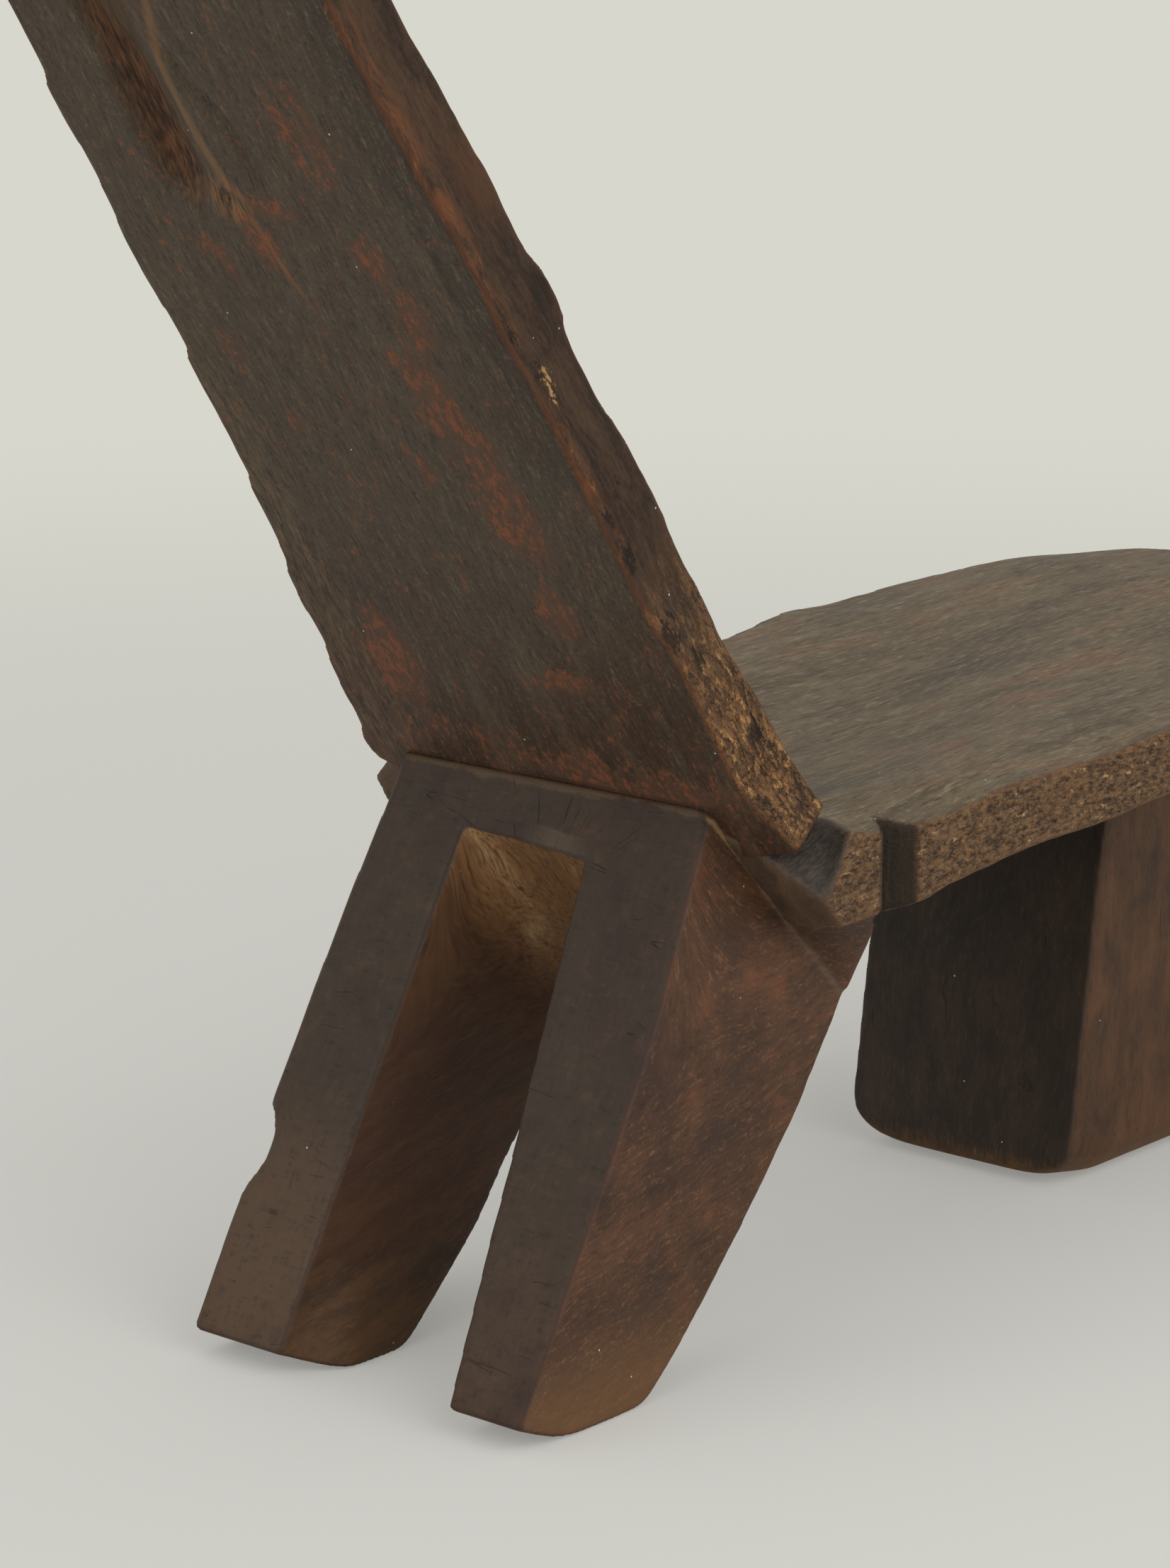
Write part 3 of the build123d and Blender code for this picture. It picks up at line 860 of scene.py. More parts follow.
def board_wood(colours):
    """The board: a smooth grey-brown patina, rust stains, a fibrous edge and a hollow."""
    f = Finish("back_wood")
    across, along = f.turned(-RECLINE)
    climb = along - CREASE_HEIGHT * cos(radians(RECLINE))       # up the board, from the crease
    inside = across - CREASE_HEIGHT * sin(radians(RECLINE))     # in from its back
    fibre, broad = f.fibres(f.grain(across, along, 0.16, 3.0))
    side, hollow, arris = f.marked("side"), f.marked("hollow"), f.marked("arris")
    soft = f.join(f.right, across, along * 0.5)
    cloud = f.noise(soft, 46.0, 2.0, 0.5, seed=44) * 2.0

    # the patina, greyer above and browner towards the crease
    low = f.ramp(climb + cloud * 30.0, 150.0, 0.0)
    patina = f.tint(low, colours.patina, colours.patina_low)
    band = f.ramp(f.right, 58.0, 84.0) * f.ramp(climb, 120.0, 240.0)
    patina = f.tint(band * 0.9, patina, shade(50, 41, 31))
    patina = f.glaze(patina, 0.7, (76, 66, 52), broad + cloud * 0.6, 0.0, 1.2)
    grit = f.noise(f.spot, 2.0, 3.0, 0.75, seed=46) * 2.0
    patina = f.glaze(patina, 0.75, (34, 28, 22), fibre + grit, 0.0, 1.3)
    patina = f.glaze(patina, 0.65, (98, 84, 65), fibre + grit, -0.1, -1.4)
    scratch = f.noise(f.join(f.right + f.right, across, along * 0.14), 4.0, 2.0, 0.6, seed=58)
    scratch = f.isolines(scratch, 0.03) * f.ramp(cloud + broad * 0.4, -0.1, 0.7)
    patina = f.tint(scratch * 0.45, patina, shade(28, 22, 17))
    rubbed = f.ramp(f.right + cloud * 12.0, -68.0, -96.0) * f.ramp(climb, 330.0, 180.0)
    patina = f.tint(rubbed * f.ramp(fibre, 0.6, -0.8) * 0.4, patina, shade(104, 84, 56))

    # rust stains, each ((right, climb), (reach across, reach along)), with flecks in them
    places = (((44, 286), (12, 17)), ((50, 256), (13, 22)), ((37, 222), (20, 32)),
              ((48, 194), (20, 27)), ((52, 155), (20, 38)), ((48, 104), (18, 22)),
              ((28, 61), (30, 8)), ((14, 174), (8, 12)), ((42, 9), (66, 13)),
              ((4, 305), (16, 8)), ((-12, 285), (13, 15)), ((-42, 278), (11, 14)),
              ((-48, 191), (10, 8)), ((40, 345), (14, 40)), ((-66, 60), (22, 34)))
    worn = f.ramp(climb + cloud * 12.0, 80.0, 0.0) * 0.4
    wisp = f.noise(f.join(f.right, across, along * 0.5), 14.0, 5.0, 0.75, 0.3, 45) * 2.0
    flecks = f.noise(f.join(f.right, across, along * 0.6), 3.4, 4.0, 0.8, 0.3, 50) * 2.0
    ragged = wisp * 9.0 + flecks * 4.0
    for middle, reach in places:
        worn = f.patch(f.right + ragged, climb - ragged, middle, reach) + worn
    worn = f.lowest(worn, 1.0)
    red = f.ramp(worn + wisp * 0.8 + flecks * 0.3, 0.05, 1.0)
    patina = f.tint(red * 0.8, patina, colours.rust)
    flecked = f.ramp(worn * 0.5 + flecks * 1.1 + wisp * 0.5, 0.42, 0.9)
    patina = f.tint(flecked * 0.75, patina, colours.rust_fleck)

    # the hollow's bare fibres, and the ochre ridge beside it
    bare = f.tint(f.ramp(fibre + broad * 0.5, -1.0, 1.0), shade(104, 70, 44), shade(40, 27, 18))
    above = f.ramp(f.right + 46.0 + (climb - 391.0) * 0.43 + broad * 3.0, 0.0, 8.0)
    bare = f.tint(above * f.ramp(climb, 350.0, 364.0) * 0.7, bare, shade(70, 58, 44))
    patina = f.tint(hollow, patina, bare)
    bend = (climb - 350.0) * 0.06
    ridge = f.bump(f.right + broad * 3.0, bend * bend - 20.0, 4.0) * f.ramp(climb, 300.0, 325.0)
    ridge = ridge * f.ramp(climb, 480.0, 400.0)
    torn = f.patch(f.right, climb, (-19.0, 309.0), (13.0, 15.0))
    patina = f.tint(ridge * 0.7, patina, shade(110, 80, 48))
    patina = f.tint(torn * f.ramp(fibre, 0.5, -0.6) * 0.8, patina, shade(128, 82, 44))
    tail = f.bump(f.right + broad * 2.0, -12.0 - (climb - 300.0) * 0.2, 2.5)
    tail = tail * f.ramp(climb, 255.0, 270.0) * f.ramp(climb, 310.0, 300.0)
    patina = f.tint(tail * 0.6, patina, shade(120, 76, 42))

    # the edge: weathered, and crumbled to bright fibres near the seat
    crumb = f.join(f.right, across, along * 0.3)
    crumble = f.ramp(climb + cloud * 22.0, 130.0, 50.0)
    chunks = f.noise(crumb, 7.0, 4.0, 0.75, 0.8, 47) * 2.0
    flake = crumb + f.join(chunks * 1.6, grit, chunks)
    chip, _, _ = f.split(f.cells(flake, 1.7, "F1", 48, "Color"))
    gap = f.cells(flake, 1.7, "DISTANCE_TO_EDGE", 48)
    weathered = f.tint(f.ramp(broad + fibre * 0.6 + grit * 0.4, 1.0, -1.0), shade(36, 25, 18),
                       shade(70, 50, 34))
    weathered = f.glaze(weathered, 0.5, (80, 51, 31), cloud, 0.1, 0.9)
    rim = f.ramp(inside + chunks * 4.0, 11.0, 4.0) * f.ramp(chunks + cloud, -0.4, 0.4)
    weathered = f.tint(rim * 0.6, weathered, shade(112, 66, 36))
    weathered = f.tint(rim * f.ramp(chip * 0.6 + chunks * 0.5, 0.65, 0.95) * 0.8, weathered,
                       shade(176, 128, 70))
    crumbs = f.tint(f.ramp(chip * 0.7 + grit * 0.3 + chunks * 0.3, -0.2, 0.9),
                    shade(52, 36, 24), colours.crumb)
    crumbs = f.tint(f.ramp(chip * 0.6 + chunks * 0.35 + grit * 0.2, 0.5, 0.9) * 0.9, crumbs,
                    shade(186, 142, 84))
    crumbs = f.glaze(crumbs, 0.8, (26, 18, 12), gap + chunks * 0.10, 0.10, 0.0)
    crumbs = f.glaze(crumbs, 1.0, (18, 13, 9), chunks, -0.45, -0.8)
    rough_edge = f.tint(crumble, weathered, crumbs)

    # cavities in the edge, each ((inside, climb), (reach in, reach along)), and a bright chip
    holes = 0.0
    torn_in, torn_up = inside + chunks * 5.0 + grit * 2.0, climb + chunks * 9.0 - grit * 4.0
    for middle, reach in (((4, 252), (2, 7)), ((4, 229), (2, 3)), ((5, 160), (4, 7)),
                          ((16, 167), (2, 3)), ((5, 138), (4, 9)), ((5, 98), (4, 11)),
                          ((12, 80), (3, 9)), ((20, 30), (4, 12))):
        holes = f.patch(torn_in, torn_up, middle, reach) + holes
    rough_edge = f.glaze(rough_edge, 0.85, (22, 13, 8), holes, 0.2, 0.8)
    chipped = f.patch(torn_in, torn_up, (8.0, 223.0), (3.0, 6.0))
    rough_edge = f.glaze(rough_edge, 0.7, (180, 138, 88), chipped, 0.1, 0.8)
    colour = f.tint(side, patina, rough_edge)

    # painted shade: a thin dark line along the crease where the board meets the block
    crease = f.ramp(climb + wisp, 2.4, 0.4) * f.ramp(abs(f.right), 98.0, 88.0)
    colour = f.tint(crease * 0.35, colour, shade(30, 20, 13))

    # arrises: a thin dark red line that wear has opened here and there
    opened = f.ramp(arris + broad * 0.15, 0.4, 0.85)
    colour = f.tint(opened * 0.45, colour, shade(90, 52, 32))
    colour = f.dusted(colour)

    height = fibre * (0.04 + hollow * 0.25 + side * 0.07) + grit * 0.03
    height = height + side * crumble * (chunks * 0.5 + chip * 0.6)
    roughness = 0.56 + fibre * 0.04 + red * 0.10 + side * 0.2 + hollow * 0.2
    return f.finish(colour, height, roughness)


def block_wood(colours):
    """The rear block: a smooth dark back, redder sides, and bare fibres with painted light in the
    slot.
    """
    f = Finish("leg_wood")
    across, along = f.turned(RAKE)
    back, side = f.marked("back"), f.marked("side")
    facet, arris = f.marked("facet"), f.marked("arris")
    cloud = f.noise(f.spot, 38.0, 3.0, 0.6, 0.3, seed=51) * 2.0

    # the grain comes down out of the board and bends forward towards the seat
    behind = f.highest(52.0 - f.forward, 0.0)
    bend = behind * behind * f.ramp(f.up, 120.0, 235.0) * 0.0125
    flow = f.up - bend - f.forward * 0.22
    ruffle = f.noise(f.spot, 15.0, 2.0, seed=60) * 3.0
    fibre, broad = f.fibres(f.grain(flow + ruffle, f.forward + f.right * 0.3, 0.2, 1.0))

    # the back: end of the grain, polished, with a fine weave
    low = f.ramp(f.up + cloud * 15.0, 130.0, 5.0)
    smooth = f.tint(low, colours.block_back, colours.block_back_low)
    smooth = f.glaze(smooth, 0.8, (58, 49, 36), cloud, 0.0, 1.0)
    smooth = f.glaze(smooth, 0.8, (50, 33, 27), cloud, -0.1, -1.0)
    pale = f.patch(f.right, f.up, (-70.0, 40.0), (55.0, 75.0))
    smooth = f.tint(pale * 0.6, smooth, shade(88, 66, 48))
    blotch = f.noise(f.spot, 13.0, 4.0, 0.65, 0.3, 66) * 2.0
    smooth = f.glaze(smooth, 0.45, (80, 57, 42), blotch, 0.1, 1.0)
    smooth = f.glaze(smooth, 0.45, (40, 30, 25), blotch, -0.1, -1.0)
    weave = f.noise(f.join(f.right, across, along * 0.25), 2.2, 3.0, 0.75, seed=52)
    weave = weave + f.noise(f.join(f.right * 0.25, across, along), 2.2, 3.0, 0.75, seed=53)
    smooth = f.glaze(smooth, 0.7, (32, 24, 19), weave, 0.0, 0.8)
    smooth = f.glaze(smooth, 0.45, (90, 69, 52), weave, -0.1, -1.0)

    # the sides: reddish brown, bright along the lines of the grain
    grit = f.noise(f.spot, 1.8, 3.0, 0.8, seed=55) * 2.0
    red = f.tint(f.ramp(broad * 0.25 + cloud * 0.6, -0.7, 0.8), colours.block_side,
                 colours.block_side_light)
    red = f.glaze(red, 0.65, (36, 24, 17), fibre + grit, 0.1, 1.3)
    red = f.glaze(red, 0.6, (128, 88, 56), fibre + grit, -0.1, -1.5)
    mottle = f.noise(f.join(f.right, flow, f.forward * 0.6), 9.0, 4.0, 0.75, 0.4, 54) * 2.0
    rusty = f.ramp(mottle + cloud * 0.5 + grit * 0.8, 0.2, 1.5)
    red = f.tint(rusty * 0.6, red, shade(118, 68, 40))
    red = f.glaze(red, 0.5, (54, 42, 34), cloud, -0.3, -1.0)
    near_sole = f.ramp(f.up + cloud * 8.0, 50.0, 2.0)
    red = f.tint(near_sole * 0.5, red, shade(118, 86, 54))

    # the slot: ochre brown, its fibres torn round the fork's knot; its upper part and roof are
    # lightened with painted light as well as light fibres
    pith_right, pith_along = 10.0, 156.0
    out, above = f.right - pith_right, along - pith_along
    angle = f.calc("ARCTAN2", out, above)
    away = f.calc("SQRT", out * out + above * above)
    depth = -across
    inner = f.tint(f.ramp(broad + cloud * 0.3, -0.8, 0.8), shade(84, 59, 39), shade(54, 38, 27))
    inner = f.glaze(inner, 0.5, (34, 23, 16), fibre, 0.0, 1.0)
    inner = f.glaze(inner, 0.4, (112, 80, 48), fibre, 0.0, -1.2)
    wall = f.ramp(f.right + (f.up - 200.0) * 0.12, -22.0, -34.0)
    inner = f.tint(wall * f.ramp(f.up, 20.0, 60.0) * 0.5, inner, shade(74, 46, 31))
    fold = f.up + f.forward * 1.15 - 203.0 + cloud * 2.0
    # painted light: the slot's upper part and a band along the roof's fold are lightened towards
    # the slot tone, along with its light fibres
    glow = f.bump(fold, -8.0, 36.0) * f.ramp(f.right, -14.0, -34.0) * f.ramp(f.up, 120.0, 165.0)
    high = f.ramp(f.up + cloud * 12.0, 120.0, 190.0) * (1.0 - wall * 0.55) * 0.45 + glow * 0.45
    inner = f.tint(high * f.ramp(fibre, 1.6, -0.8), inner, colours.slot)
    streak = f.bump(fold, 0.0, 7.0) * f.ramp(f.right, -26.0, -35.0) * f.ramp(f.up, 150.0, 172.0)
    inner = f.tint(streak * f.ramp(fibre, 0.7, -0.8) * 0.6, inner, shade(184, 150, 106))
    knot = f.patch(f.forward, f.up, (27.0, 170.0), (11.0, 15.0)) * f.ramp(f.right, -24.0, -35.0)
    torn = f.noise(f.join(f.right + f.up * 0.35, depth * 0.4, f.up * 0.10), 3.2, 4.0, 0.7,
                   seed=56) * 2.0
    inner = f.tint(knot * f.ramp(torn, 0.6, -0.6) * 0.9, inner, shade(176, 146, 104))
    inner = f.tint(knot * f.ramp(torn, 0.3, 0.9), inner, shade(30, 22, 15))
    inner = f.tint(near_sole * 0.3, inner, shade(108, 78, 50))
    colour = f.tint(back, f.tint(side, inner, red), smooth)

    # checks in the back, radiating from the fork's knot, and a flake off above the slot
    lines = f.noise(f.join(angle * 24.0, away * 0.03, 3.0), 6.0, 2.0, 0.6, 0.2, 58)
    gaps = f.noise(f.join(f.right, across, along), 20.0, 2.0, seed=59)
    checks = f.isolines(lines, 0.018) * f.ramp(gaps, -0.2, 0.2)
    checks = checks * f.patch(f.right, f.up, (-10.0, 228.0), (70.0, 34.0))
    level = f.noise(f.join(f.right * 0.12, across, along + f.right * 0.1), 12.0, 1.5, 0.5,
                    seed=57)
    checks = f.highest(checks, f.isolines(level, 0.008) * f.ramp(gaps, -0.1, -0.3) * 0.7)
    colour = f.tint(checks * back * 0.7, colour, shade(26, 18, 14))
    edge = f.up + f.right * 0.06 - 217.0 + cloud * 1.2
    flake = f.ramp(edge, 8.5, 7.5) * f.bump(f.right, 10.0, 22.0) * back
    colour = f.tint(flake * 0.6, colour, shade(86, 70, 56))

    # the facets under the lugs, and worn arrises with rust beside them
    dark = f.tint(f.ramp(broad, -0.8, 0.8), shade(70, 54, 41), shade(92, 70, 52))
    dark = f.glaze(dark, 0.4, (110, 86, 62), fibre, 0.2, -1.2)
    colour = f.tint(facet * side, colour, dark)
    facet_plane = facet_distances(f, f.right, f.forward, f.up)[0]
    seam = f.bump(facet_plane + weave * 0.9, -0.3, 0.9 + f.ramp(f.up, 214.0, 240.0) * 1.2)
    seam = seam * f.ramp(f.up + cloud * 9.0, 198.0, 226.0) * f.ramp(abs(f.right), 94.0, 91.0)
    colour = f.tint(seam * (1.0 - back) * 0.9, colour, shade(136, 110, 74))
    lip = f.ramp(f.up + cloud * 1.5 + weave * 2.0, 238.5, 240.5) * back
    colour = f.tint(lip * 0.6, colour, shade(92, 72, 52))
    worn = f.ramp(arris + broad * 0.1, 0.6, 0.95)
    halo = f.ramp(arris + cloud * 0.4 + grit * 0.4 + mottle * 0.4, 0.3, 1.0) * side
    halo = halo * f.ramp(f.up, 234.0, 226.0)
    colour = f.tint(halo * 0.35, colour, shade(100, 50, 27))
    colour = f.tint(worn * 0.5, colour, shade(46, 34, 30))
    colour = f.dusted(colour)

    height = fibre * (0.08 - back * 0.06) + weave * back * 0.05 - checks * back * 0.5
    height = height - knot * (1.0 - back) * torn * 0.8
    roughness = 0.58 - back * 0.08 + fibre * 0.04 + near_sole * 0.1
    return f.finish(colour, height, roughness)


def slab_wood(colours):
    """The seat: a grey worn top with lengthwise streaks, and a mottled, fibrous edge."""
    f = Finish("seat_wood")
    across, along = f.turned(90.0 - SEAT_PITCH)
    fibre, broad = f.fibres(f.grain(across, along, 0.13, 3.0))
    top, side = f.marked("top"), f.marked("side")
    facet, tip = f.marked("facet"), f.marked("tip")
    notch, arris = f.marked("notch"), f.marked("arris")
    cloud = f.noise(f.join(f.right, f.up, f.forward * 0.35), 30.0, 3.0, 0.6, 0.3, 61) * 2.0

    worn = f.tint(f.ramp(broad * 0.7 + cloud * 0.5, -0.9, 0.9), colours.seat_top,
                  colours.seat_top_light)
    worn = f.glaze(worn, 0.75, (112, 81, 61), cloud + fibre * 0.2, 0.1, 0.8)
    worn = f.glaze(worn, 0.6, (76, 68, 58), cloud, -0.2, -1.0)
    grit = f.noise(f.join(f.right, f.up, f.forward * 0.6), 2.2, 4.0, 0.8, 0.2, 63) * 2.0
    worn = f.glaze(worn, 0.75, (50, 42, 34), fibre + grit * 0.6, 0.0, 1.3)
    worn = f.glaze(worn, 0.65, (146, 131, 110), fibre + grit * 0.6, 0.0, -1.3)
    pits = f.noise(f.join(f.right, f.up, f.forward * 0.35), 4.0, 4.0, 0.72, 0.3, 62) * 2.0
    worn = f.glaze(worn, 0.75, (30, 25, 21), pits + fibre * 0.15, 0.55, 0.95)

    edge = f.tint(f.ramp(grit + fibre * 0.3, -0.7, 0.7), colours.seat_edge, shade(42, 30, 21))
    edge = f.glaze(edge, 0.5, (108, 66, 38), cloud + grit * 0.3, 0.2, 1.0)
    edge = f.glaze(edge, 0.9, (20, 15, 11), pits + grit * 0.4, 0.4, 0.9)
    edge = f.glaze(edge, 0.8, (180, 146, 102), pits + grit * 0.6, -0.5, -1.0)

    dark = f.tint(f.ramp(broad, -0.8, 0.8), shade(74, 58, 45), shade(96, 75, 57))
    blue = f.tint(f.ramp(pits + grit * 0.4 + fibre * 0.3, -1.3, 1.3), shade(76, 66, 58),
                  shade(40, 36, 34))
    saw = f.noise(f.join(f.right * 3.0, f.forward * 3.0, f.up * 0.05), 2.0, 2.0, seed=65)
    sawn = f.tint(f.ramp(saw, -0.5, 0.7), shade(28, 19, 9), shade(48, 34, 19))

    under = f.tint(f.ramp(broad, -1.0, 1.0), shade(50, 36, 27), shade(74, 53, 37))
    colour = f.tint(top, under, worn)
    colour = f.tint(side, colour, edge)
    colour = f.tint(facet, colour, dark)
    colour = f.tint(tip, colour, blue)
    colour = f.tint(notch, colour, sawn)
    opened = f.ramp(arris + broad * 0.2, 0.5, 0.9) * (1.0 - notch)
    colour = f.tint(opened * (0.4 - tip * 0.3), colour, shade(112, 80, 52))
    colour = f.dusted(colour)

    height = fibre * 0.08 + broad * 0.3 - pits * (0.15 + side * 0.2) - grit * side * 0.1
    roughness = 0.62 + fibre * 0.04 + side * 0.15 - tip * 0.12
    return f.finish(colour, height, roughness)


def front_leg_wood(colours):
    """The front leg: a dark back, a reddish side and ochre wear at the sole."""
    f = Finish("front_leg_wood")
    grain_lean = 4.0
    across, along = f.turned(grain_lean)
    fibre, broad = f.fibres(f.grain(across, along, 0.3, 5.0))
    back, arris = f.marked("back"), f.marked("arris")
    cloud = f.noise(f.spot, 34.0, 3.0, 0.6, 0.3, seed=71) * 2.0
    dark = f.tint(f.ramp(broad * 0.6 + cloud * 0.6, -1.0, 1.0), shade(32, 25, 19),
                  colours.front_back)
    red = f.tint(f.ramp(broad * 0.6 + cloud * 0.5, -0.9, 0.9), shade(57, 38, 23),
                 colours.front_side)
    red = f.glaze(red, 0.5, (42, 33, 27), cloud, -0.3, -1.0)
    colour = f.tint(back, red, dark)
    colour = f.glaze(colour, 0.35, (26, 19, 14), fibre, 0.0, 1.2)
    colour = f.glaze(colour, 0.25, (98, 70, 48), fibre, 0.0, -1.3)
    sole = f.ramp(f.up + cloud * 4.0 + fibre * 3.0, 15.0, 0.0)
    colour = f.tint(sole * 0.6, colour, shade(122, 88, 50))
    colour = f.glaze(colour, 0.25, (90, 66, 46), arris + broad * 0.15, 0.5, 0.9)
    checks = f.noise(f.join(f.right, f.forward, f.up * 0.16), 16.0, 3.0, 0.6, 0.3, 72)
    lines = f.isolines(checks, 0.02) * f.ramp(cloud, -0.2, 0.6)
    colour = f.tint(lines * 0.6, colour, shade(18, 12, 9))
    colour = f.dusted(colour)
    height = fibre * 0.07
    roughness = 0.6 + fibre * 0.04 + sole * 0.15
    return f.finish(colour, height, roughness)


# ---------------------------------------------------------------- operators

class CarveOperator:
    """What the carving operators share."""
    bl_options = {"REGISTER", "UNDO"}

    def dress(self, piece, slot, *nodes):
        """Puts a piece on the chair's one body, in place of its nodes."""
        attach(piece, "root")
        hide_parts(*nodes)
        return {"FINISHED"}


class CHAIRSTOOL_OT_backrest(CarveOperator, bpy.types.Operator):
    """Carve the leaning board"""
    bl_idname = "chairstool.backrest"
    bl_label = "Backrest"

    def execute(self, context):
        scene = context.scene
        piece = backrest(scene.chairstool_backrest, board_wood(scene.chairstool_colours))
        return self.dress(piece, "back_wood", "backrest")


class CHAIRSTOOL_OT_seat(CarveOperator, bpy.types.Operator):
    """Carve the dished slab and its lugs"""
    bl_idname = "chairstool.seat"
    bl_label = "Seat"

    def execute(self, context):
        scene = context.scene
        piece = seat(scene.chairstool_seat, slab_wood(scene.chairstool_colours))
        return self.dress(piece, "seat_wood", "seat", "seat_lug_left", "seat_lug_right")


class CHAIRSTOOL_OT_rear_legs(CarveOperator, bpy.types.Operator):
    """Carve the raked block and slot it into two legs"""
    bl_idname = "chairstool.rear_legs"
    bl_label = "Rear legs"

    def execute(self, context):
        scene = context.scene
        piece = rear_legs(scene.chairstool_rear_legs, block_wood(scene.chairstool_colours))
        return self.dress(piece, "leg_wood", "rear_leg_bridge", "rear_leg_left",
                          "rear_leg_right")


class CHAIRSTOOL_OT_front_leg(CarveOperator, bpy.types.Operator):
    """Carve the broad front block"""
    bl_idname = "chairstool.front_leg"
    bl_label = "Front leg"

    def execute(self, context):
        scene = context.scene
        piece = front_leg(scene.chairstool_front_leg, front_leg_wood(scene.chairstool_colours))
        return self.dress(piece, "leg_wood", "front_leg")


FLOOR_REACH = 3.0                       # metres, from the middle to the floor's edge
FLOOR_FADE = (2.6, 0.7)                 # gone at the first distance, whole at the second
OWN_LIGHT = 0.93                        # evens the floor's own light with the lamps'
LAMP_WIDTH = 3.0
KEY_PLACE = (-2.6, 0.2, 1.35)
FILL_PLACE = (0.5, 2.7, 1.35)
LAMP_AIM = (0.0, 0.0, 0.25)
ROOM_TINT = (1.0, 0.99, 0.96)


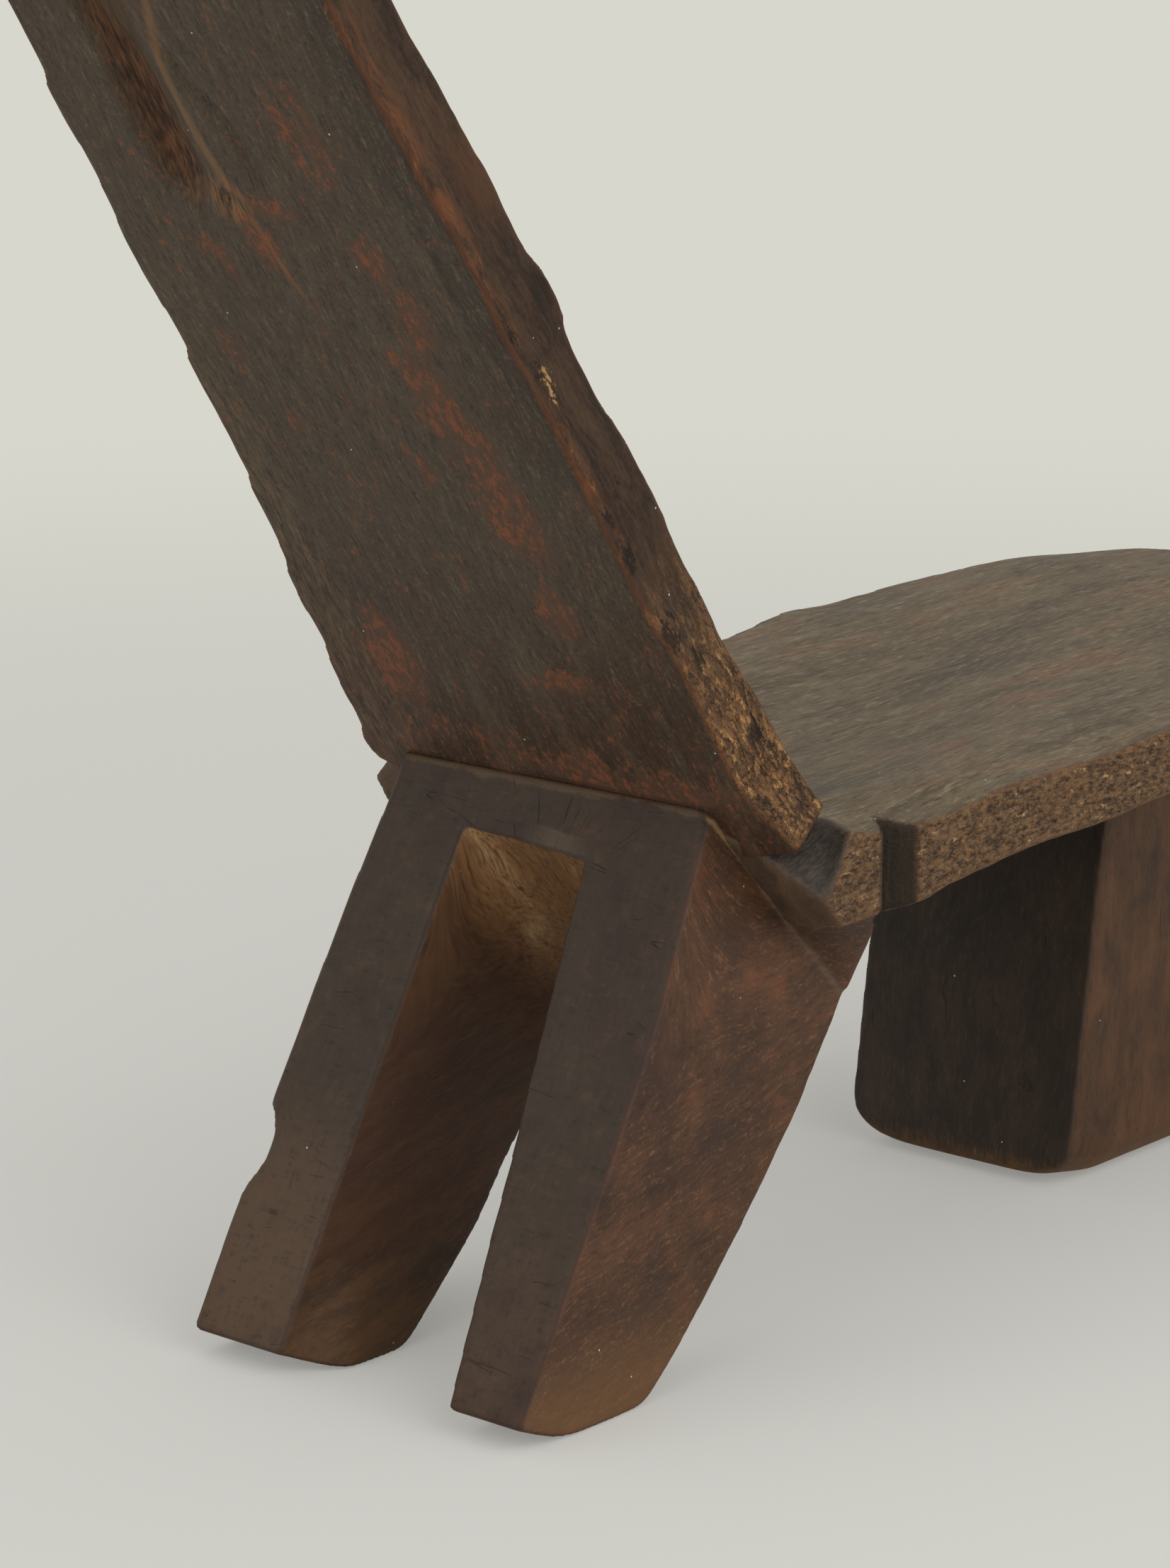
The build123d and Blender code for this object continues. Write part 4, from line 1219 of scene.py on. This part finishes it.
class CHAIRSTOOL_OT_studio(bpy.types.Operator):
    """Set out the floor, the lamps and the camera"""
    bl_idname = "chairstool.studio"
    bl_label = "Studio"
    bl_options = {"REGISTER", "UNDO"}

    def execute(self, context):
        settings = context.scene.chairstool_studio
        self.lay_floor(settings)
        self.hang_lamps(context, settings)
        self.set_camera(context, settings)
        context.scene.view_settings.view_transform = "Standard"
        return {"FINISHED"}

    def lay_floor(self, settings):
        """A floor that fades out into the backdrop."""
        mesh = bpy.data.meshes.new("floor")
        half = FLOOR_REACH
        corners = [(-half, -half, 0.0), (half, -half, 0.0), (half, half, 0.0), (-half, half, 0.0)]
        mesh.from_pydata(corners, [], [(0, 1, 2, 3)])
        floor = bpy.data.objects.new("floor", mesh)
        bpy.context.scene.collection.objects.link(floor)
        material = bpy.data.materials.new("floor_paper")
        material.use_nodes = True
        shader = material.node_tree.nodes["Principled BSDF"]
        shader.inputs["Roughness"].default_value = 0.9
        shader.inputs["Specular IOR Level"].default_value = 0.0
        shader.inputs["Emission Strength"].default_value = 1.0
        g = Graph(material.node_tree)
        seen = g.camera_rays()
        paper = tuple(settings.floor_colour)
        lit = tuple(part * (1.0 - settings.glow) for part in paper)
        own = tuple(part * settings.glow * OWN_LIGHT for part in paper)
        g.tree.links.new(g.tint(seen, paper, lit).socket, shader.inputs["Base Color"])
        g.tree.links.new(g.tint(seen, (0.0, 0.0, 0.0), own).socket,
                         shader.inputs["Emission Color"])
        away = g.add("ShaderNodeVectorMath", {"operation": "LENGTH"},
                     {0: g.add("ShaderNodeTexCoord", output="Object")}, "Value")
        g.tree.links.new(g.ramp(away, *FLOOR_FADE).socket, shader.inputs["Alpha"])
        mesh.materials.append(material)

    def hang_lamps(self, context, settings):
        """Two broad lamps and a room that is pale to the camera."""
        self.lamp("key", settings.key, KEY_PLACE)
        self.lamp("fill", settings.fill, FILL_PLACE)
        world = bpy.data.worlds.new("room")
        world.use_nodes = True
        g = Graph(world.node_tree)
        light = tuple(settings.sky * part for part in ROOM_TINT)
        colour = g.tint(g.camera_rays(), light, tuple(settings.backdrop))
        room = world.node_tree.nodes["Background"]
        g.tree.links.new(colour.socket, room.inputs["Color"])
        context.scene.world = world

    def lamp(self, name, power, place):
        """A square lamp that faces the chair."""
        data = bpy.data.lights.new(name, "AREA")
        data.energy = power
        data.size = LAMP_WIDTH
        lamp = bpy.data.objects.new(name, data)
        lamp.location = place
        aim = Vector(LAMP_AIM) - Vector(place)
        lamp.rotation_euler = aim.to_track_quat("-Z", "Y").to_euler()
        bpy.context.scene.collection.objects.link(lamp)

    def set_camera(self, context, settings):
        """A camera behind the chair, on the sitter's right."""
        data = bpy.data.cameras.new("camera")
        data.lens = settings.lens
        data.sensor_width = 36.0
        data.clip_end = 100.0
        camera = bpy.data.objects.new("camera", data)
        camera.location = settings.camera_place
        camera.rotation_euler = settings.camera_turn
        bpy.context.scene.collection.objects.link(camera)
        context.scene.camera = camera


class CHAIRSTOOL_PT_panel(bpy.types.Panel):
    """Lists the chair-stool's members in the sidebar"""
    bl_idname = "CHAIRSTOOL_PT_panel"
    bl_label = "Chair-stool"
    bl_space_type = "VIEW_3D"
    bl_region_type = "UI"
    bl_category = "Chair-stool"

    def draw(self, context):
        for group, operator in PARTS:
            box = self.layout.box()
            box.operator(operator.bl_idname)
            self.list_settings(box, getattr(context.scene, group))
        self.list_settings(self.layout.box(), context.scene.chairstool_colours)

    def list_settings(self, box, settings):
        """One row for each property of a group."""
        for key in settings.__annotations__:
            box.prop(settings, key)


GROUPS = {
    "chairstool_backrest": BackrestSizes,
    "chairstool_seat": SeatSizes,
    "chairstool_rear_legs": RearLegSizes,
    "chairstool_front_leg": FrontLegSizes,
    "chairstool_colours": WoodColours,
    "chairstool_studio": StudioSettings,
}
PARTS = (
    ("chairstool_studio", CHAIRSTOOL_OT_studio),
    ("chairstool_backrest", CHAIRSTOOL_OT_backrest),
    ("chairstool_seat", CHAIRSTOOL_OT_seat),
    ("chairstool_rear_legs", CHAIRSTOOL_OT_rear_legs),
    ("chairstool_front_leg", CHAIRSTOOL_OT_front_leg),
)
CLASSES = (*GROUPS.values(), *(operator for _, operator in PARTS), CHAIRSTOOL_PT_panel)


def register():
    """Adds the classes and the scene's settings."""
    for cls in CLASSES:
        bpy.utils.register_class(cls)
    for name, group in GROUPS.items():
        setattr(bpy.types.Scene, name, bpy.props.PointerProperty(type=group))


def unregister():
    """Takes away what register added."""
    for name in GROUPS:
        delattr(bpy.types.Scene, name)
    for cls in reversed(CLASSES):
        bpy.utils.unregister_class(cls)


def main():
    """Builds the chair and its studio."""
    register()
    bpy.ops.chairstool.studio()
    bpy.ops.chairstool.backrest()
    bpy.ops.chairstool.seat()
    bpy.ops.chairstool.rear_legs()
    bpy.ops.chairstool.front_leg()


if __name__ == "__main__":
    main()
